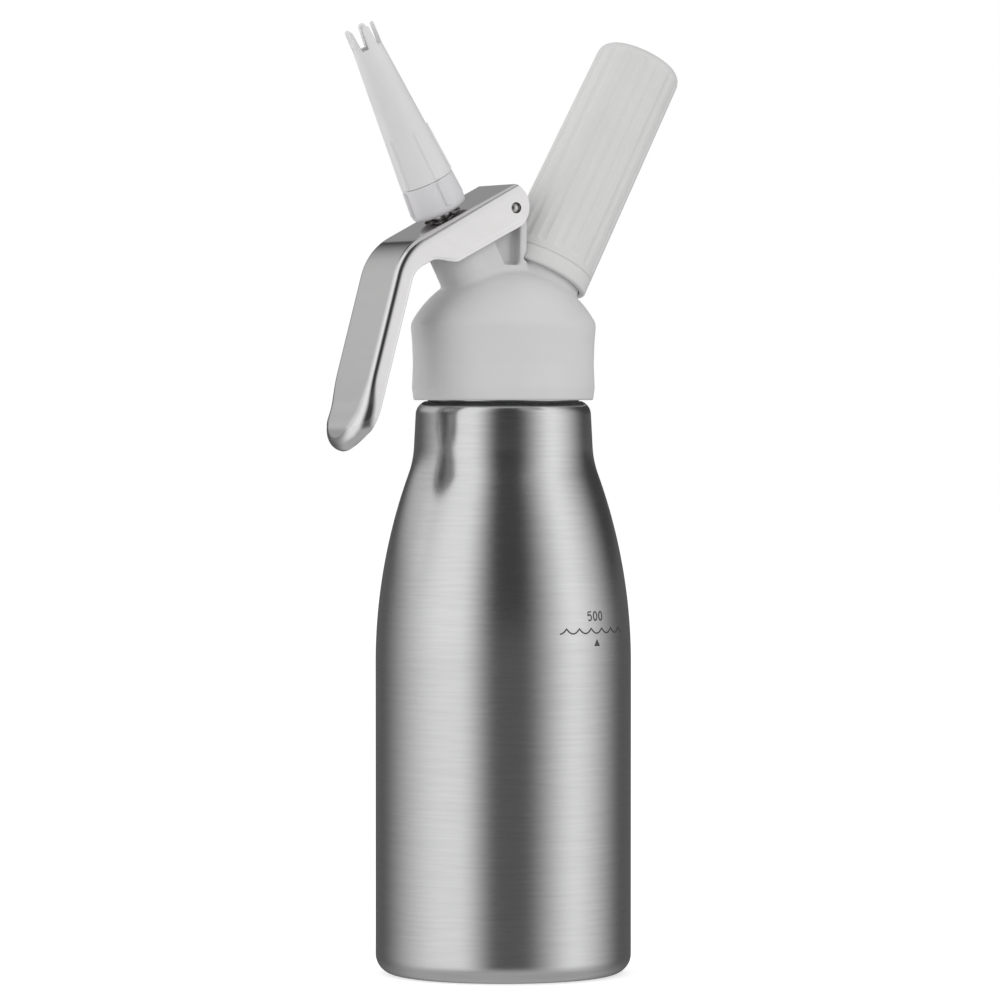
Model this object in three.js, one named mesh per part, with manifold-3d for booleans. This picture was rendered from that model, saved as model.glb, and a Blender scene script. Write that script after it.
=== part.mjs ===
import * as THREE from 'three';
import { mergeVertices } from 'three/addons/utils/BufferGeometryUtils.js';
import Module from 'manifold-3d';

// A whipped cream dispenser: steel bottle, moulded head, squeeze lever, dispensing valve and charger holder.
// Millimetres, +Z up. The origin is the centre of the flat base, +X points to the charger holder.

// Fits shared by all pieces
const seatGap = 0.3;
const overrun = 1;

// Facets round a full turn, and steps along one rounded edge
const wideSides = 48;
const tubeSides = 32;
const smallSides = 18;
const edgeSteps = 3;
const shoulderSteps = 6;
const domeSteps = 8;

// Bottle
const bottleRadius = 40;
const bottleWall = 0.8;
const baseEdgeRadius = 6.2;
const bodyStraightHeight = 97;
const shoulderArcRadius = 174;
const neckFilletRadius = 30;
const neckTaperAngle = 3;
const neckConeHeight = 10;
const rimEdgeRadius = 4.5;
const rimShelf = 3.05;
const threadNeckRadius = 24.4;
const threadNeckHeight = 16;

// Head: collar and dome
const collarGap = 0.75;
const collarHeight = 23.8;
const collarFootRadius = 28.1;
const collarBandRadius = 28.6;
const collarBandHeight = 3.8;
const collarWaistRadius = 28.3;
const collarWaistHeight = 11.2;
const collarTopRadius = 29;
const collarFaceHollow = 0.15;
const domeRadius = 32.6;
const domeWall = 3.8;
const gasketThickness = 2;
const gasketWidth = 2.6;

// Dispensing axis: tilt, height above the collar foot and distances along it
const nozzleTilt = 27;
const nozzleAxisHeight = 14.7;
const nozzleBossRadius = 9.3;
const nozzleBossTop = 38.5;
const valveSeatDistance = 7.2;
const stemBoreRadius = 5;
const springLedgeDistance = 26;
const springPocketRadius = 7.2;

// Valve stem and its rings
const valveDiscRadius = 7;
const valveDiscThickness = 2;
const valveSealThickness = 1.4;
const valveSealRim = 0.4;
const stemWaistRadius = 3.2;
const stemLandRadius = 4.7;
const stemLandStart = 16;
const stemLandLength = 8.5;
const stemChamfer = 0.5;
const stemShaftRadius = 4.2;
const stemThreadRadius = 3.5;
const stemThreadLength = 15;
const stemFlowRadius = 2;
const stemPortRadius = 1.3;
const stemPortDistance = 12;
const oRingWireRadius = 0.65;
const oRingGrooveWidth = 2.6;
const oRingGrooveStart = 2.6;

// Valve spring
const springWireRadius = 0.5;
const springTurns = 6;
const springStepsPerTurn = 8;
const springWireSides = 5;

// Thrust nut under the lever web
const thrustNutRadius = 8.6;
const thrustNutThickness = 3;
const thrustNutCrownRadius = 30;

// Lever
const leverWidth = 25;
const leverSheet = 1.2;
const leverCornerRadius = 3;
const webDistance = 47.8;
const pivotOffset = 18.4;
const pivotBelowWeb = 6.6;
const webFlangeDepth = 12.6;
const bendFlangeDepth = 8.2;
const handleFlangeDepth = 6.1;
const rearRoundRadius = 7.7;
const rearRoundOffset = 2.5;
const flangeStepLength = 7;
const webFrontLength = 14;
const leverBendRadius = 19;
const leverBendAngle = 46.2;
const handleStraightLength = 41.6;
const handleFlareRadius = 24;
const handleFlareAngle = 11.2;
const handleReturnRadius = 15;
const handleReturnAngle = 20.2;
const handleTipLength = 5.7;
const handleEndRound = 12.4;
const handleTipTaper = 5.4;
const handleTipDepth = 2.8;
const dishFront = 10.8;
const dishRear = 6;
const dishHalfWidth = 10.2;
const dishDepth = 1.2;
const dishSlope = 1.2;
const dishFrontRadius = 9.5;
const dishRearRadius = 4;
const stemHoleRadius = 6;

// Lever pin and the post that carries it
const pinRadius = 1.45;
const pinDome = 0.5;
const pinBossRadius = 4;
const pinSinkDepth = 0.3;
const postRearReach = 3.4;
const postRibThickness = 2.9;
const postPocketDepth = 4.5;
const postPocketFloor = 42.6;
const postPocketMargin = 9;
const holderSweepClearance = 0.6;

// Nozzle adapter
const adapterLift = 2;
const adapterHeight = 10.2;
const adapterFootRadius = 9;
const adapterTopRadius = 8.2;
const adapterFootRound = 1.4;
const adapterSpigotRadius = 6.8;
const adapterSpigotLength = 8;
const adapterFlowRadius = 3;
const adapterRibWidth = 1.1;
const adapterRibHeight = 0.3;
const adapterRibLength = 8.4;
const adapterRibCount = 3;
const ribAzimuth = -101.8;

// Decorator tip
const tipLength = 52.4;
const tipFootRadius = 8.4;
const tipCrownRootRadius = 4.75;
const tipCrownTopRadius = 4.9;
const tipWall = 1.25;
const tipSocketDepth = 8.6;
const tipSocketStep = 1;
const toothLength = 7.2;
const toothCount = 5;
const toothGapRootWidth = 2.8;
const toothGapTopWidth = 3.9;
const toothTipRound = 1;
const toothAzimuth = -75;
const tipRibWidth = 0.8;
const tipRibHeight = 0.45;
const tipRibLength = 16.3;
const tipRibCount = 5;

// Charging axis: tilt, height above the collar foot and distances along it
const holderTilt = 28;
const holderAxisHeight = 13.4;
const holderBossRadius = 12.8;
const holderBossTop = 30.3;
const holderBossFloor = 23.5;
const valvePocketDepth = 3.4;
const valvePocketRadius = 10.7;

// Charging valve
const valveFlangeRadius = 10.4;
const valveFlangeThickness = 1.7;
const valveWasherThickness = 0.8;
const valveShaftRadius = 5.5;
const valveShaftEnd = 19.4;
const valveStubRadius = 3;
const valveStubLength = 2.9;
const valveStudRadius = 9.3;
const valveStudLength = 14.9;
const gasBoreRadius = 1.2;
const chargerSocketRadius = 5.2;
const chargerSocketDepth = 8.6;
const valveNutThickness = 3.2;
const valveNutCornerRadius = 8.2;
const checkSleeveWall = 1.4;
const checkSleeveLength = 2.3;

// Piercing pin, charger seal and charger
const pierceBaseRadius = 2.3;
const pierceBaseLength = 4.7;
const pierceTipRadius = 1;
const pierceTipLength = 3.3;
const chargerSealThickness = 1.1;
const chargerSealRadius = 4.9;
const chargerLength = 65.5;
const chargerRadius = 8.85;
const chargerNeckRadius = 4.3;
const chargerNeckLength = 8.8;
const chargerShoulderRadius = 5;
const chargerWall = 1.6;

// Charger holder and its thread insert
const holderLength = 78.6;
const holderSkirtDepth = 1.6;
const holderFootRadius = 14.9;
const holderTopRadius = 13.7;
const holderFootRound = 1.8;
const holderTopRound = 4.5;
const holderBoreClearance = 0.35;
const holderSeamHeight = 5.1;
const holderSeamWidth = 0.5;
const holderSeamDepth = 0.3;
const fluteCount = 16;
const fluteAzimuth = -90;
const fluteWidth = 2.3;
const fluteDepth = 0.4;
const fluteStart = 6.8;
const fluteSides = 12;
const insertWall = 2.2;
const insertLength = 14.1;
const insertRecess = 0.6;

const degree = Math.PI / 180;
const wasm = await Module();
wasm.setup();

// Places that several pieces share, measured along the bottle axis

const rimStartRadius = threadNeckRadius + rimShelf;
const neckStartRadius = rimStartRadius + neckConeHeight * Math.tan(neckTaperAngle * degree);
const shoulderEndAngle = Math.acos(
  (shoulderArcRadius - bottleRadius + neckStartRadius + neckFilletRadius * Math.cos(neckTaperAngle * degree))
    / (shoulderArcRadius + neckFilletRadius),
) / degree;
const shoulderEnd = {
  radius: bottleRadius - shoulderArcRadius * (1 - Math.cos(shoulderEndAngle * degree)),
  height: bodyStraightHeight + shoulderArcRadius * Math.sin(shoulderEndAngle * degree),
};
const neckStartHeight = shoulderEnd.height
  + neckFilletRadius * (Math.sin(shoulderEndAngle * degree) - Math.sin(neckTaperAngle * degree));
const rimStart = { radius: rimStartRadius, height: neckStartHeight + neckConeHeight };
const rimTurnEnd = Math.acos((rimEdgeRadius - rimShelf) / rimEdgeRadius);
const rimHeight = rimStart.height + rimEdgeRadius * Math.sin(rimTurnEnd);
const neckTop = rimHeight + threadNeckHeight;
const collarFoot = rimHeight + collarGap;
const gasketFoot = neckTop + seatGap;
const gasketSeat = gasketFoot + gasketThickness + seatGap;
const collarTop = collarFoot + collarHeight;
const domeCentre = collarTop - Math.sqrt(domeRadius ** 2 - collarTopRadius ** 2);

// Places along the dispensing axis

const nozzleOrigin = collarFoot + nozzleAxisHeight;
const valveSealTop = valveSeatDistance - seatGap;
const valveDiscTop = valveSealTop - valveSealThickness - seatGap;
const webUnderside = webDistance - leverSheet;
const dishUnderside = webUnderside - dishDepth;
const thrustNutTop = dishUnderside - seatGap;
const thrustNutFoot = thrustNutTop - thrustNutThickness;
const stemShoulder = thrustNutFoot - seatGap;
const stemTop = stemShoulder + stemThreadLength;
const pivotDistance = webDistance - pivotBelowWeb;
const adapterFoot = webDistance + adapterLift;
const adapterTop = adapterFoot + adapterHeight;
const tipFoot = adapterTop + seatGap;
const tipTop = tipFoot + tipLength;
const toothRoot = tipTop - toothLength;

// Places along the charging axis

const holderOrigin = collarFoot + holderAxisHeight;
const valvePocketFloor = holderBossTop - valvePocketDepth;
const valveWasherFoot = valvePocketFloor + seatGap;
const valveFlangeFoot = valveWasherFoot + valveWasherThickness + seatGap;
const valveFlangeTop = valveFlangeFoot + valveFlangeThickness;
const valveStudTop = valveFlangeTop + valveStudLength;
const chargerSocketFloor = valveStudTop - chargerSocketDepth;
const pierceFoot = chargerSocketFloor - pierceBaseLength + seatGap / 2;
const chargerSealFoot = chargerSocketFloor + seatGap;
const chargerFoot = chargerSealFoot + chargerSealThickness + seatGap;
const chargerTop = chargerFoot + chargerLength;
const holderFoot = holderBossTop - holderSkirtDepth;
const holderSeat = holderBossTop + seatGap;
const holderTop = holderFoot + holderLength;
const holderBoreRadius = chargerRadius + holderBoreClearance;
const insertFoot = holderSeat + insertRecess;
const insertTop = insertFoot + insertLength;
const insertBoreRadius = valveStudRadius + seatGap;
const insertRadius = insertBoreRadius + insertWall;

// Meshes and solids

function closedGeometry(source) {
  const geometry = source.index ? source.toNonIndexed() : source.clone();
  geometry.deleteAttribute('normal');
  geometry.deleteAttribute('uv');
  const merged = mergeVertices(geometry);
  const kept = [];
  for (let i = 0; i < merged.index.count; i += 3) {
    const corners = [0, 1, 2].map((step) => merged.index.getX(i + step));
    if (new Set(corners).size === 3) kept.push(...corners);
  }
  merged.setIndex(kept);
  return outwardFacing(merged);
}

function outwardFacing(geometry) {
  const corner = [0, 1, 2].map(() => new THREE.Vector3());
  const place = geometry.attributes.position;
  const index = geometry.index.array;
  let volume = 0;
  for (let i = 0; i < index.length; i += 3) {
    corner.forEach((point, step) => point.fromBufferAttribute(place, index[i + step]));
    volume += corner[0].dot(corner[1].cross(corner[2]));
  }
  if (volume < 0) geometry.setIndex(Array.from(index).reverse());
  return geometry;
}

function toSolid(geometry) {
  const closed = closedGeometry(geometry);
  return new wasm.Manifold(new wasm.Mesh({
    numProp: 3,
    vertProperties: new Float32Array(closed.attributes.position.array),
    triVerts: new Uint32Array(closed.index.array),
  }));
}

function toGeometry(solid) {
  const mesh = solid.getMesh();
  const geometry = new THREE.BufferGeometry();
  geometry.setAttribute('position', new THREE.BufferAttribute(mesh.vertProperties, 3));
  geometry.setIndex(new THREE.BufferAttribute(mesh.triVerts, 1));
  return geometry;
}

// Forms that several pieces are made of

function revolve(profile, sides) {
  const outline = profile.map(([radius, height]) => new THREE.Vector2(radius, height));
  if (profile[0][0] > 0 || profile[profile.length - 1][0] > 0) outline.push(outline[0].clone());
  return new THREE.LatheGeometry(outline, sides).rotateX(Math.PI / 2);
}

function arcPoints(centreX, centreY, radius, startAngle, endAngle, steps) {
  return Array.from({ length: steps + 1 }, (_, step) => {
    const angle = THREE.MathUtils.lerp(startAngle, endAngle, step / steps) * degree;
    return [centreX + radius * Math.cos(angle), centreY + radius * Math.sin(angle)];
  });
}

function ring(innerRadius, outerRadius, foot, top, sides) {
  return revolve([[innerRadius, foot], [outerRadius, foot], [outerRadius, top], [innerRadius, top]], sides);
}

function rod(radius, foot, top, sides) {
  return revolve([[0, foot], [radius, foot], [radius, top], [0, top]], sides);
}

function crossRod(radius, length, sides) {
  return new THREE.CylinderGeometry(radius, radius, length, sides);
}

function extrudeAcross(outline, width) {
  const shape = new THREE.Shape(outline.map(([x, z]) => new THREE.Vector2(x, z)));
  const plate = new THREE.ExtrudeGeometry(shape, { depth: width, bevelEnabled: false });
  return plate.translate(0, 0, -width / 2).rotateX(Math.PI / 2);
}

// Skins a stack of rings with equal point counts and closes both convex ends.
function loft(rings) {
  const count = rings[0].length;
  const places = rings.flat().flatMap((point) => [point.x, point.y, point.z]);
  const triangles = [];
  for (let level = 0; level < rings.length - 1; level += 1) {
    for (let i = 0; i < count; i += 1) {
      const a = level * count + i;
      const b = level * count + ((i + 1) % count);
      triangles.push(a, b, b + count, a, b + count, a + count);
    }
  }
  const last = (rings.length - 1) * count;
  for (let i = 1; i < count - 1; i += 1) {
    triangles.push(0, i + 1, i, last, last + i, last + i + 1);
  }
  const geometry = new THREE.BufferGeometry();
  geometry.setAttribute('position', new THREE.Float32BufferAttribute(places, 3));
  geometry.setIndex(triangles);
  return geometry;
}

function turned(solid, azimuth) {
  return solid.rotate([0, 0, azimuth]);
}

function piece(name, geometry, finish) {
  const closed = closedGeometry(geometry);
  const mesh = new THREE.Mesh(closed.toNonIndexed(), finish);
  mesh.geometry.computeVertexNormals();
  mesh.name = name;
  return mesh;
}

// Bottle: one drawn steel shell with a cylindrical body, a long shoulder and a threaded neck

function bottleSkin(inset, steps) {
  const baseRound = baseEdgeRadius - inset;
  const shoulderTurn = THREE.MathUtils.degToRad(shoulderEndAngle);
  const skin = [[0, inset]];
  skin.push(...arcPoints(bottleRadius - baseEdgeRadius, baseEdgeRadius, baseRound, -90, 0, edgeSteps));
  skin.push(...arcPoints(
    bottleRadius - shoulderArcRadius, bodyStraightHeight,
    shoulderArcRadius - inset, 0, shoulderTurn / degree, steps,
  ));
  skin.push(...arcPoints(
    shoulderEnd.radius + neckFilletRadius * Math.cos(shoulderTurn),
    shoulderEnd.height + neckFilletRadius * Math.sin(shoulderTurn),
    neckFilletRadius + inset, 180 + shoulderEndAngle, 180 + neckTaperAngle, edgeSteps,
  ).slice(1));
  skin.push(...arcPoints(
    rimStart.radius - rimEdgeRadius, rimStart.height,
    rimEdgeRadius - inset, neckTaperAngle, rimTurnEnd / degree, edgeSteps,
  ));
  return skin;
}

function bottleGeometry() {
  const outside = bottleSkin(0, shoulderSteps);
  const inside = bottleSkin(bottleWall, shoulderSteps - 2);
  inside[inside.length - 1][0] = threadNeckRadius - bottleWall;
  const mouth = [[threadNeckRadius, neckTop], [threadNeckRadius - bottleWall, neckTop]];
  return revolve([...outside, ...mouth, ...inside.reverse()], wideSides);
}

function headGasketGeometry() {
  return ring(threadNeckRadius - gasketWidth, threadNeckRadius, gasketFoot, gasketFoot + gasketThickness, wideSides);
}

// Head: domed moulding with a screwed collar, two tilted bosses and the lever post

function onNozzleAxis(solid) {
  return solid.rotate([0, -nozzleTilt, 0]).translate([0, 0, nozzleOrigin]);
}

function onHolderAxis(solid) {
  return solid.rotate([0, holderTilt, 0]).translate([0, 0, holderOrigin]);
}

// A point of the dispensing frame, given behind and along the axis, in the frame of the bottle.
function fromNozzleFrame(behind, along) {
  const tilt = nozzleTilt * degree;
  return [
    behind * Math.cos(tilt) - along * Math.sin(tilt),
    nozzleOrigin + behind * Math.sin(tilt) + along * Math.cos(tilt),
  ];
}

function domeProfile(radius, rimRadius) {
  const rimAngle = Math.acos(rimRadius / radius) / degree;
  return arcPoints(0, domeCentre, radius, rimAngle, 90, domeSteps);
}

function headOutside() {
  return toSolid(revolve([
    [0, collarFoot],
    [collarFootRadius, collarFoot],
    [collarBandRadius, collarFoot + collarBandHeight],
    [collarWaistRadius, collarFoot + collarWaistHeight],
    [(collarWaistRadius + collarTopRadius) / 2 - collarFaceHollow, (collarFoot + collarWaistHeight + collarTop) / 2],
    ...domeProfile(domeRadius, collarTopRadius),
  ], wideSides));
}

function headCavity() {
  const threadBore = threadNeckRadius + seatGap;
  const chamberRadius = threadNeckRadius - gasketWidth - seatGap;
  return toSolid(revolve([
    [0, collarFoot - overrun],
    [threadBore, collarFoot - overrun],
    [threadBore, gasketSeat],
    [chamberRadius, gasketSeat],
    ...domeProfile(domeRadius - domeWall, chamberRadius),
  ], wideSides));
}

function postOutline() {
  const [pinX, pinZ] = fromNozzleFrame(pivotOffset, pivotDistance);
  const rearLow = [postRearReach, domeCentre + domeRadius / 2];
  return [
    fromNozzleFrame(0, valveSeatDistance + domeWall),
    rearLow,
    [postRearReach, pinZ - pinBossRadius],
    ...arcPoints(pinX, pinZ, pinBossRadius, 0, 150, 2 * edgeSteps),
    fromNozzleFrame(pivotOffset - pinBossRadius, nozzleBossTop),
    fromNozzleFrame(0, nozzleBossTop),
  ];
}

function postPocket(side) {
  const floor = collarFoot + postPocketFloor;
  const [, pinZ] = fromNozzleFrame(pivotOffset, pivotDistance);
  const ceiling = pinZ - pinBossRadius;
  const rearX = postRearReach - postRibThickness;
  const frontAt = (height) => {
    const tilt = nozzleTilt * degree;
    return (postPocketMargin - (height - nozzleOrigin) * Math.sin(tilt)) / Math.cos(tilt);
  };
  const outline = [[frontAt(floor), floor], [rearX, floor], [rearX, ceiling], [frontAt(ceiling), ceiling]];
  const depth = postPocketDepth + overrun;
  return toSolid(extrudeAcross(outline, depth))
    .translate([0, side * (nozzleBossRadius - postPocketDepth + depth / 2), 0]);
}

function headGeometry() {
  const [pinX, pinZ] = fromNozzleFrame(pivotOffset, pivotDistance);
  const pinBossWidth = leverWidth - 2 * (leverSheet + seatGap);
  const nozzleBoss = toSolid(rod(nozzleBossRadius, valveSeatDistance, nozzleBossTop, tubeSides));
  const holderBoss = toSolid(rod(holderBossRadius, holderBossFloor, holderBossTop, tubeSides));
  const pinBoss = toSolid(crossRod(pinBossRadius, pinBossWidth, smallSides)).translate([pinX, 0, pinZ]);
  const pinHole = toSolid(crossRod(pinRadius + seatGap, leverWidth, smallSides)).translate([pinX, 0, pinZ]);
  const stemBore = toSolid(rod(stemBoreRadius, 0, nozzleBossTop, smallSides));
  const springPocket = toSolid(rod(springPocketRadius, springLedgeDistance, nozzleBossTop + overrun, smallSides));
  const valvePocket = toSolid(rod(valvePocketRadius, valvePocketFloor, holderBossTop + overrun, tubeSides));
  const valveHole = toSolid(rod(valveShaftRadius + seatGap, holderBossFloor - overrun, holderBossTop, smallSides));
  const nutSeat = toSolid(rod(
    valveNutCornerRadius + seatGap, holderBossFloor - valveNutThickness - overrun, holderBossFloor, smallSides,
  ));
  const holderSweep = toSolid(rod(
    holderFootRadius + holderSweepClearance, holderFoot - holderSweepClearance, holderTop, tubeSides,
  ));
  return toGeometry(
    headOutside()
      .add(toSolid(extrudeAcross(postOutline(), 2 * nozzleBossRadius)))
      .subtract(postPocket(1))
      .subtract(postPocket(-1))
      .add(pinBoss)
      .add(onHolderAxis(holderBoss))
      .subtract(headCavity())
      .subtract(onHolderAxis(holderSweep))
      .add(onNozzleAxis(nozzleBoss))
      .add(onHolderAxis(holderBoss))
      .subtract(onNozzleAxis(stemBore))
      .subtract(onNozzleAxis(springPocket))
      .subtract(onHolderAxis(valvePocket))
      .subtract(onHolderAxis(valveHole))
      .subtract(onHolderAxis(nutSeat))
      .subtract(pinHole),
  );
}

// Valve train, on the dispensing axis

function valveStemGeometry() {
  const landEnd = stemLandStart + stemLandLength;
  const grooveFoot = stemLandStart + oRingGrooveStart;
  const grooveTop = grooveFoot + oRingGrooveWidth;
  const grooveRadius = stemLandRadius - 2 * oRingWireRadius - seatGap;
  const flowFoot = stemPortDistance - stemPortRadius;
  const stem = toSolid(revolve([
    [0, valveDiscTop - valveDiscThickness],
    [valveDiscRadius, valveDiscTop - valveDiscThickness],
    [valveDiscRadius, valveDiscTop],
    [stemWaistRadius, valveDiscTop],
    [stemWaistRadius, stemLandStart - stemLandRadius + stemWaistRadius],
    [stemLandRadius, stemLandStart],
    [stemLandRadius, grooveFoot],
    [grooveRadius, grooveFoot],
    [grooveRadius, grooveTop],
    [stemLandRadius, grooveTop],
    [stemLandRadius, landEnd - stemChamfer],
    [stemShaftRadius, landEnd],
    [stemShaftRadius, stemShoulder],
    [stemThreadRadius, stemShoulder],
    [stemThreadRadius, stemTop - stemChamfer],
    [stemThreadRadius - stemChamfer, stemTop],
    [stemFlowRadius, stemTop],
    [stemFlowRadius, flowFoot],
    [0, flowFoot],
  ], smallSides));
  const port = toSolid(crossRod(stemPortRadius, 2 * valveDiscRadius, smallSides / 2))
    .translate([0, 0, stemPortDistance]);
  return toGeometry(stem.subtract(port).subtract(turned(port, 90)));
}

function valveSealGeometry() {
  return ring(
    stemWaistRadius + seatGap, valveDiscRadius - valveSealRim,
    valveSealTop - valveSealThickness, valveSealTop, smallSides,
  );
}

function stemORingGeometry() {
  const height = stemLandStart + oRingGrooveStart + oRingGrooveWidth / 2;
  const wire = new THREE.TorusGeometry(stemLandRadius - oRingWireRadius, oRingWireRadius, 8, smallSides);
  return wire.translate(0, 0, height);
}

function springPath() {
  const foot = springLedgeDistance + seatGap + springWireRadius;
  const top = thrustNutFoot - seatGap - springWireRadius;
  const radius = (springPocketRadius + stemShaftRadius) / 2;
  const steps = springTurns * springStepsPerTurn;
  return Array.from({ length: steps + 1 }, (_, step) => {
    const angle = 2 * Math.PI * step / springStepsPerTurn;
    const height = THREE.MathUtils.lerp(foot, top, step / steps);
    return new THREE.Vector3(radius * Math.cos(angle), radius * Math.sin(angle), height);
  });
}

function valveSpringGeometry() {
  const path = springPath();
  const section = Array.from({ length: springWireSides }, (_, side) => 2 * Math.PI * side / springWireSides);
  const upward = new THREE.Vector3(0, 0, 1);
  const rings = path.map((centre) => {
    const outward = new THREE.Vector3(centre.x, centre.y, 0).normalize();
    return section.map((angle) => centre.clone()
      .addScaledVector(outward, springWireRadius * Math.cos(angle))
      .addScaledVector(upward, springWireRadius * Math.sin(angle)));
  });
  return loft(rings);
}

function springLeastGap() {
  const path = springPath();
  let least = Infinity;
  for (let i = 0; i < path.length; i += 1) {
    for (let j = i + springStepsPerTurn / 2; j < path.length; j += 1) {
      least = Math.min(least, path[i].distanceTo(path[j]));
    }
  }
  return least - 2 * springWireRadius;
}

function thrustNutGeometry() {
  const disc = toSolid(ring(stemThreadRadius + seatGap, thrustNutRadius, thrustNutFoot, thrustNutTop, tubeSides));
  const crown = toSolid(crossRod(thrustNutCrownRadius, leverWidth, 2 * wideSides))
    .translate([0, 0, thrustNutTop - thrustNutCrownRadius]);
  return toGeometry(disc.intersect(crown));
}

// Lever: one pressed channel, bent from the web over the valve to the long handle

// The outer face of the channel seen from the side, as places, headings and flange depths.
function leverPath() {
  const segments = [
    { length: pivotOffset + rearRoundRadius + webFrontLength - flangeStepLength, radius: Infinity, steps: 1 },
    { length: flangeStepLength, radius: Infinity, steps: 1 },
    { length: leverBendRadius * leverBendAngle * degree, radius: leverBendRadius, steps: 9 },
    { length: handleStraightLength, radius: Infinity, steps: 1 },
    { length: handleFlareRadius * handleFlareAngle * degree, radius: -handleFlareRadius, steps: 3 },
    { length: handleReturnRadius * handleReturnAngle * degree, radius: handleReturnRadius, steps: 5 },
    { length: handleTipLength, radius: Infinity, steps: 6 },
  ];
  const stations = [{ x: pivotOffset + rearRoundRadius, z: webDistance, heading: 0, travel: 0 }];
  for (const segment of segments) {
    const step = segment.length / segment.steps;
    for (let i = 0; i < segment.steps; i += 1) {
      const from = stations[stations.length - 1];
      const turn = step / segment.radius;
      const heading = from.heading + turn / 2;
      stations.push({
        x: from.x - step * Math.cos(heading),
        z: from.z - step * Math.sin(heading),
        heading: from.heading + turn,
        travel: from.travel + step,
      });
    }
  }
  return stations;
}

function flangeDepthAt(travel, end) {
  const stepStart = pivotOffset + rearRoundRadius + webFrontLength - flangeStepLength;
  const bendStart = stepStart + flangeStepLength;
  const bendEnd = bendStart + leverBendRadius * leverBendAngle * degree;
  const stepShare = THREE.MathUtils.clamp((travel - stepStart) / (bendStart - stepStart), 0, 1);
  const bendShare = THREE.MathUtils.smoothstep(travel, bendStart, bendEnd);
  const tipShare = THREE.MathUtils.smoothstep(travel, end - handleTipTaper, end);
  const webDepth = THREE.MathUtils.lerp(webFlangeDepth, bendFlangeDepth, stepShare);
  const handleDepth = THREE.MathUtils.lerp(webDepth, handleFlangeDepth, bendShare);
  return THREE.MathUtils.lerp(handleDepth, handleTipDepth, tipShare);
}

// How much of the full size is left at a place on a round end of the given length.
function roundEndShare(travel, end, length) {
  const share = THREE.MathUtils.clamp((travel - end + length) / length, 0, 1);
  return Math.sqrt(1 - share ** 2);
}

function channelSection(station, end, inset, skirt) {
  const halfWidth = (leverWidth / 2 - inset) * roundEndShare(station.travel, end, handleEndRound - inset);
  const corner = leverCornerRadius - inset;
  const drop = corner * (1 - roundEndShare(station.travel, end, corner));
  const round = Math.min(corner, halfWidth);
  const top = inset + drop;
  const bottom = Math.max(flangeDepthAt(station.travel, end), top + round) + skirt;
  const side = arcPoints(halfWidth - round, top + round, round, -90, 0, edgeSteps);
  const outline = [
    ...side,
    [halfWidth, bottom],
    [-halfWidth, bottom],
    ...side.map(([across, depth]) => [-across, depth]).reverse(),
  ];
  return outline.map(([across, depth]) => new THREE.Vector3(
    station.x + depth * Math.sin(station.heading),
    across,
    station.z - depth * Math.cos(station.heading),
  ));
}

// A skin of the channel that lies a given distance inside its outer face.
function channelSkin(inset, skirt) {
  const path = leverPath();
  const end = path[path.length - 1].travel - inset;
  const inner = path.filter((station) => station.travel < end - leverCornerRadius);
  const tail = path.filter((station) => station.travel >= end - leverCornerRadius);
  const tailStart = tail[0];
  const tailShares = [0, 0.4, 0.7, 0.87, 0.96, 0.997];
  const tailLength = end - tailStart.travel;
  const stations = tailShares.map((share) => ({
    x: tailStart.x - share * tailLength * Math.cos(tailStart.heading),
    z: tailStart.z - share * tailLength * Math.sin(tailStart.heading),
    heading: tailStart.heading,
    travel: tailStart.travel + share * tailLength,
  }));
  return toSolid(loft([...inner, ...stations].map((station) => channelSection(station, end, inset, skirt))));
}

// A tray of rounded rectangular plan whose walls slope in towards its floor.
function dishTray(inset, floor, top) {
  const plan = (shrink) => {
    const frontRound = dishFrontRadius - shrink;
    const rearRound = dishRearRadius - shrink;
    const front = -dishFront + dishFrontRadius;
    const rear = dishRear - dishRearRadius;
    const frontSide = dishHalfWidth - dishFrontRadius;
    const rearSide = dishHalfWidth - dishRearRadius;
    return [
      ...arcPoints(rear, rearSide, rearRound, 0, 90, edgeSteps),
      ...arcPoints(front, frontSide, frontRound, 90, 180, 2 * edgeSteps),
      ...arcPoints(front, -frontSide, frontRound, 180, 270, 2 * edgeSteps),
      ...arcPoints(rear, -rearSide, rearRound, 270, 360, edgeSteps),
    ];
  };
  const level = (shrink, height) => plan(shrink).map(([x, y]) => new THREE.Vector3(x, y, height));
  return toSolid(loft([level(inset + dishSlope, floor), level(inset, webDistance), level(inset, top)]));
}

function leverGeometry() {
  const channel = channelSkin(0, 0).subtract(channelSkin(leverSheet, overrun));
  const rearReach = 2 * rearRoundRadius;
  const rearBlock = toSolid(new THREE.BoxGeometry(rearReach, leverWidth + overrun, 2 * rearReach))
    .translate([pivotOffset - rearRoundOffset + rearReach / 2, 0, pivotDistance]);
  const rearRound = toSolid(crossRod(rearRoundRadius, leverWidth + 2 * overrun, wideSides)).translate([
    pivotOffset - rearRoundOffset, 0, webDistance - webFlangeDepth + rearRoundRadius,
  ]);
  const pinHole = toSolid(crossRod(pinRadius + seatGap, leverWidth + overrun, smallSides))
    .translate([pivotOffset, 0, pivotDistance]);
  const stemHole = toSolid(rod(stemHoleRadius, dishUnderside - overrun, webDistance + overrun, tubeSides));
  return toGeometry(
    channel
      .subtract(rearBlock.subtract(rearRound))
      .add(dishTray(0, dishUnderside, webDistance).subtract(dishTray(0, webDistance, webDistance + overrun)))
      .subtract(dishTray(leverSheet, webDistance - dishDepth, webDistance + overrun))
      .subtract(stemHole)
      .subtract(pinHole),
  );
}

function leverPinGeometry() {
  const halfLength = leverWidth / 2 - pinSinkDepth;
  return revolve([
    [0, -halfLength],
    [pinRadius - pinDome, -halfLength],
    [pinRadius, pinDome - halfLength],
    [pinRadius, halfLength - pinDome],
    [pinRadius - pinDome, halfLength],
    [0, halfLength],
  ], smallSides).rotateX(Math.PI / 2);
}

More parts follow.
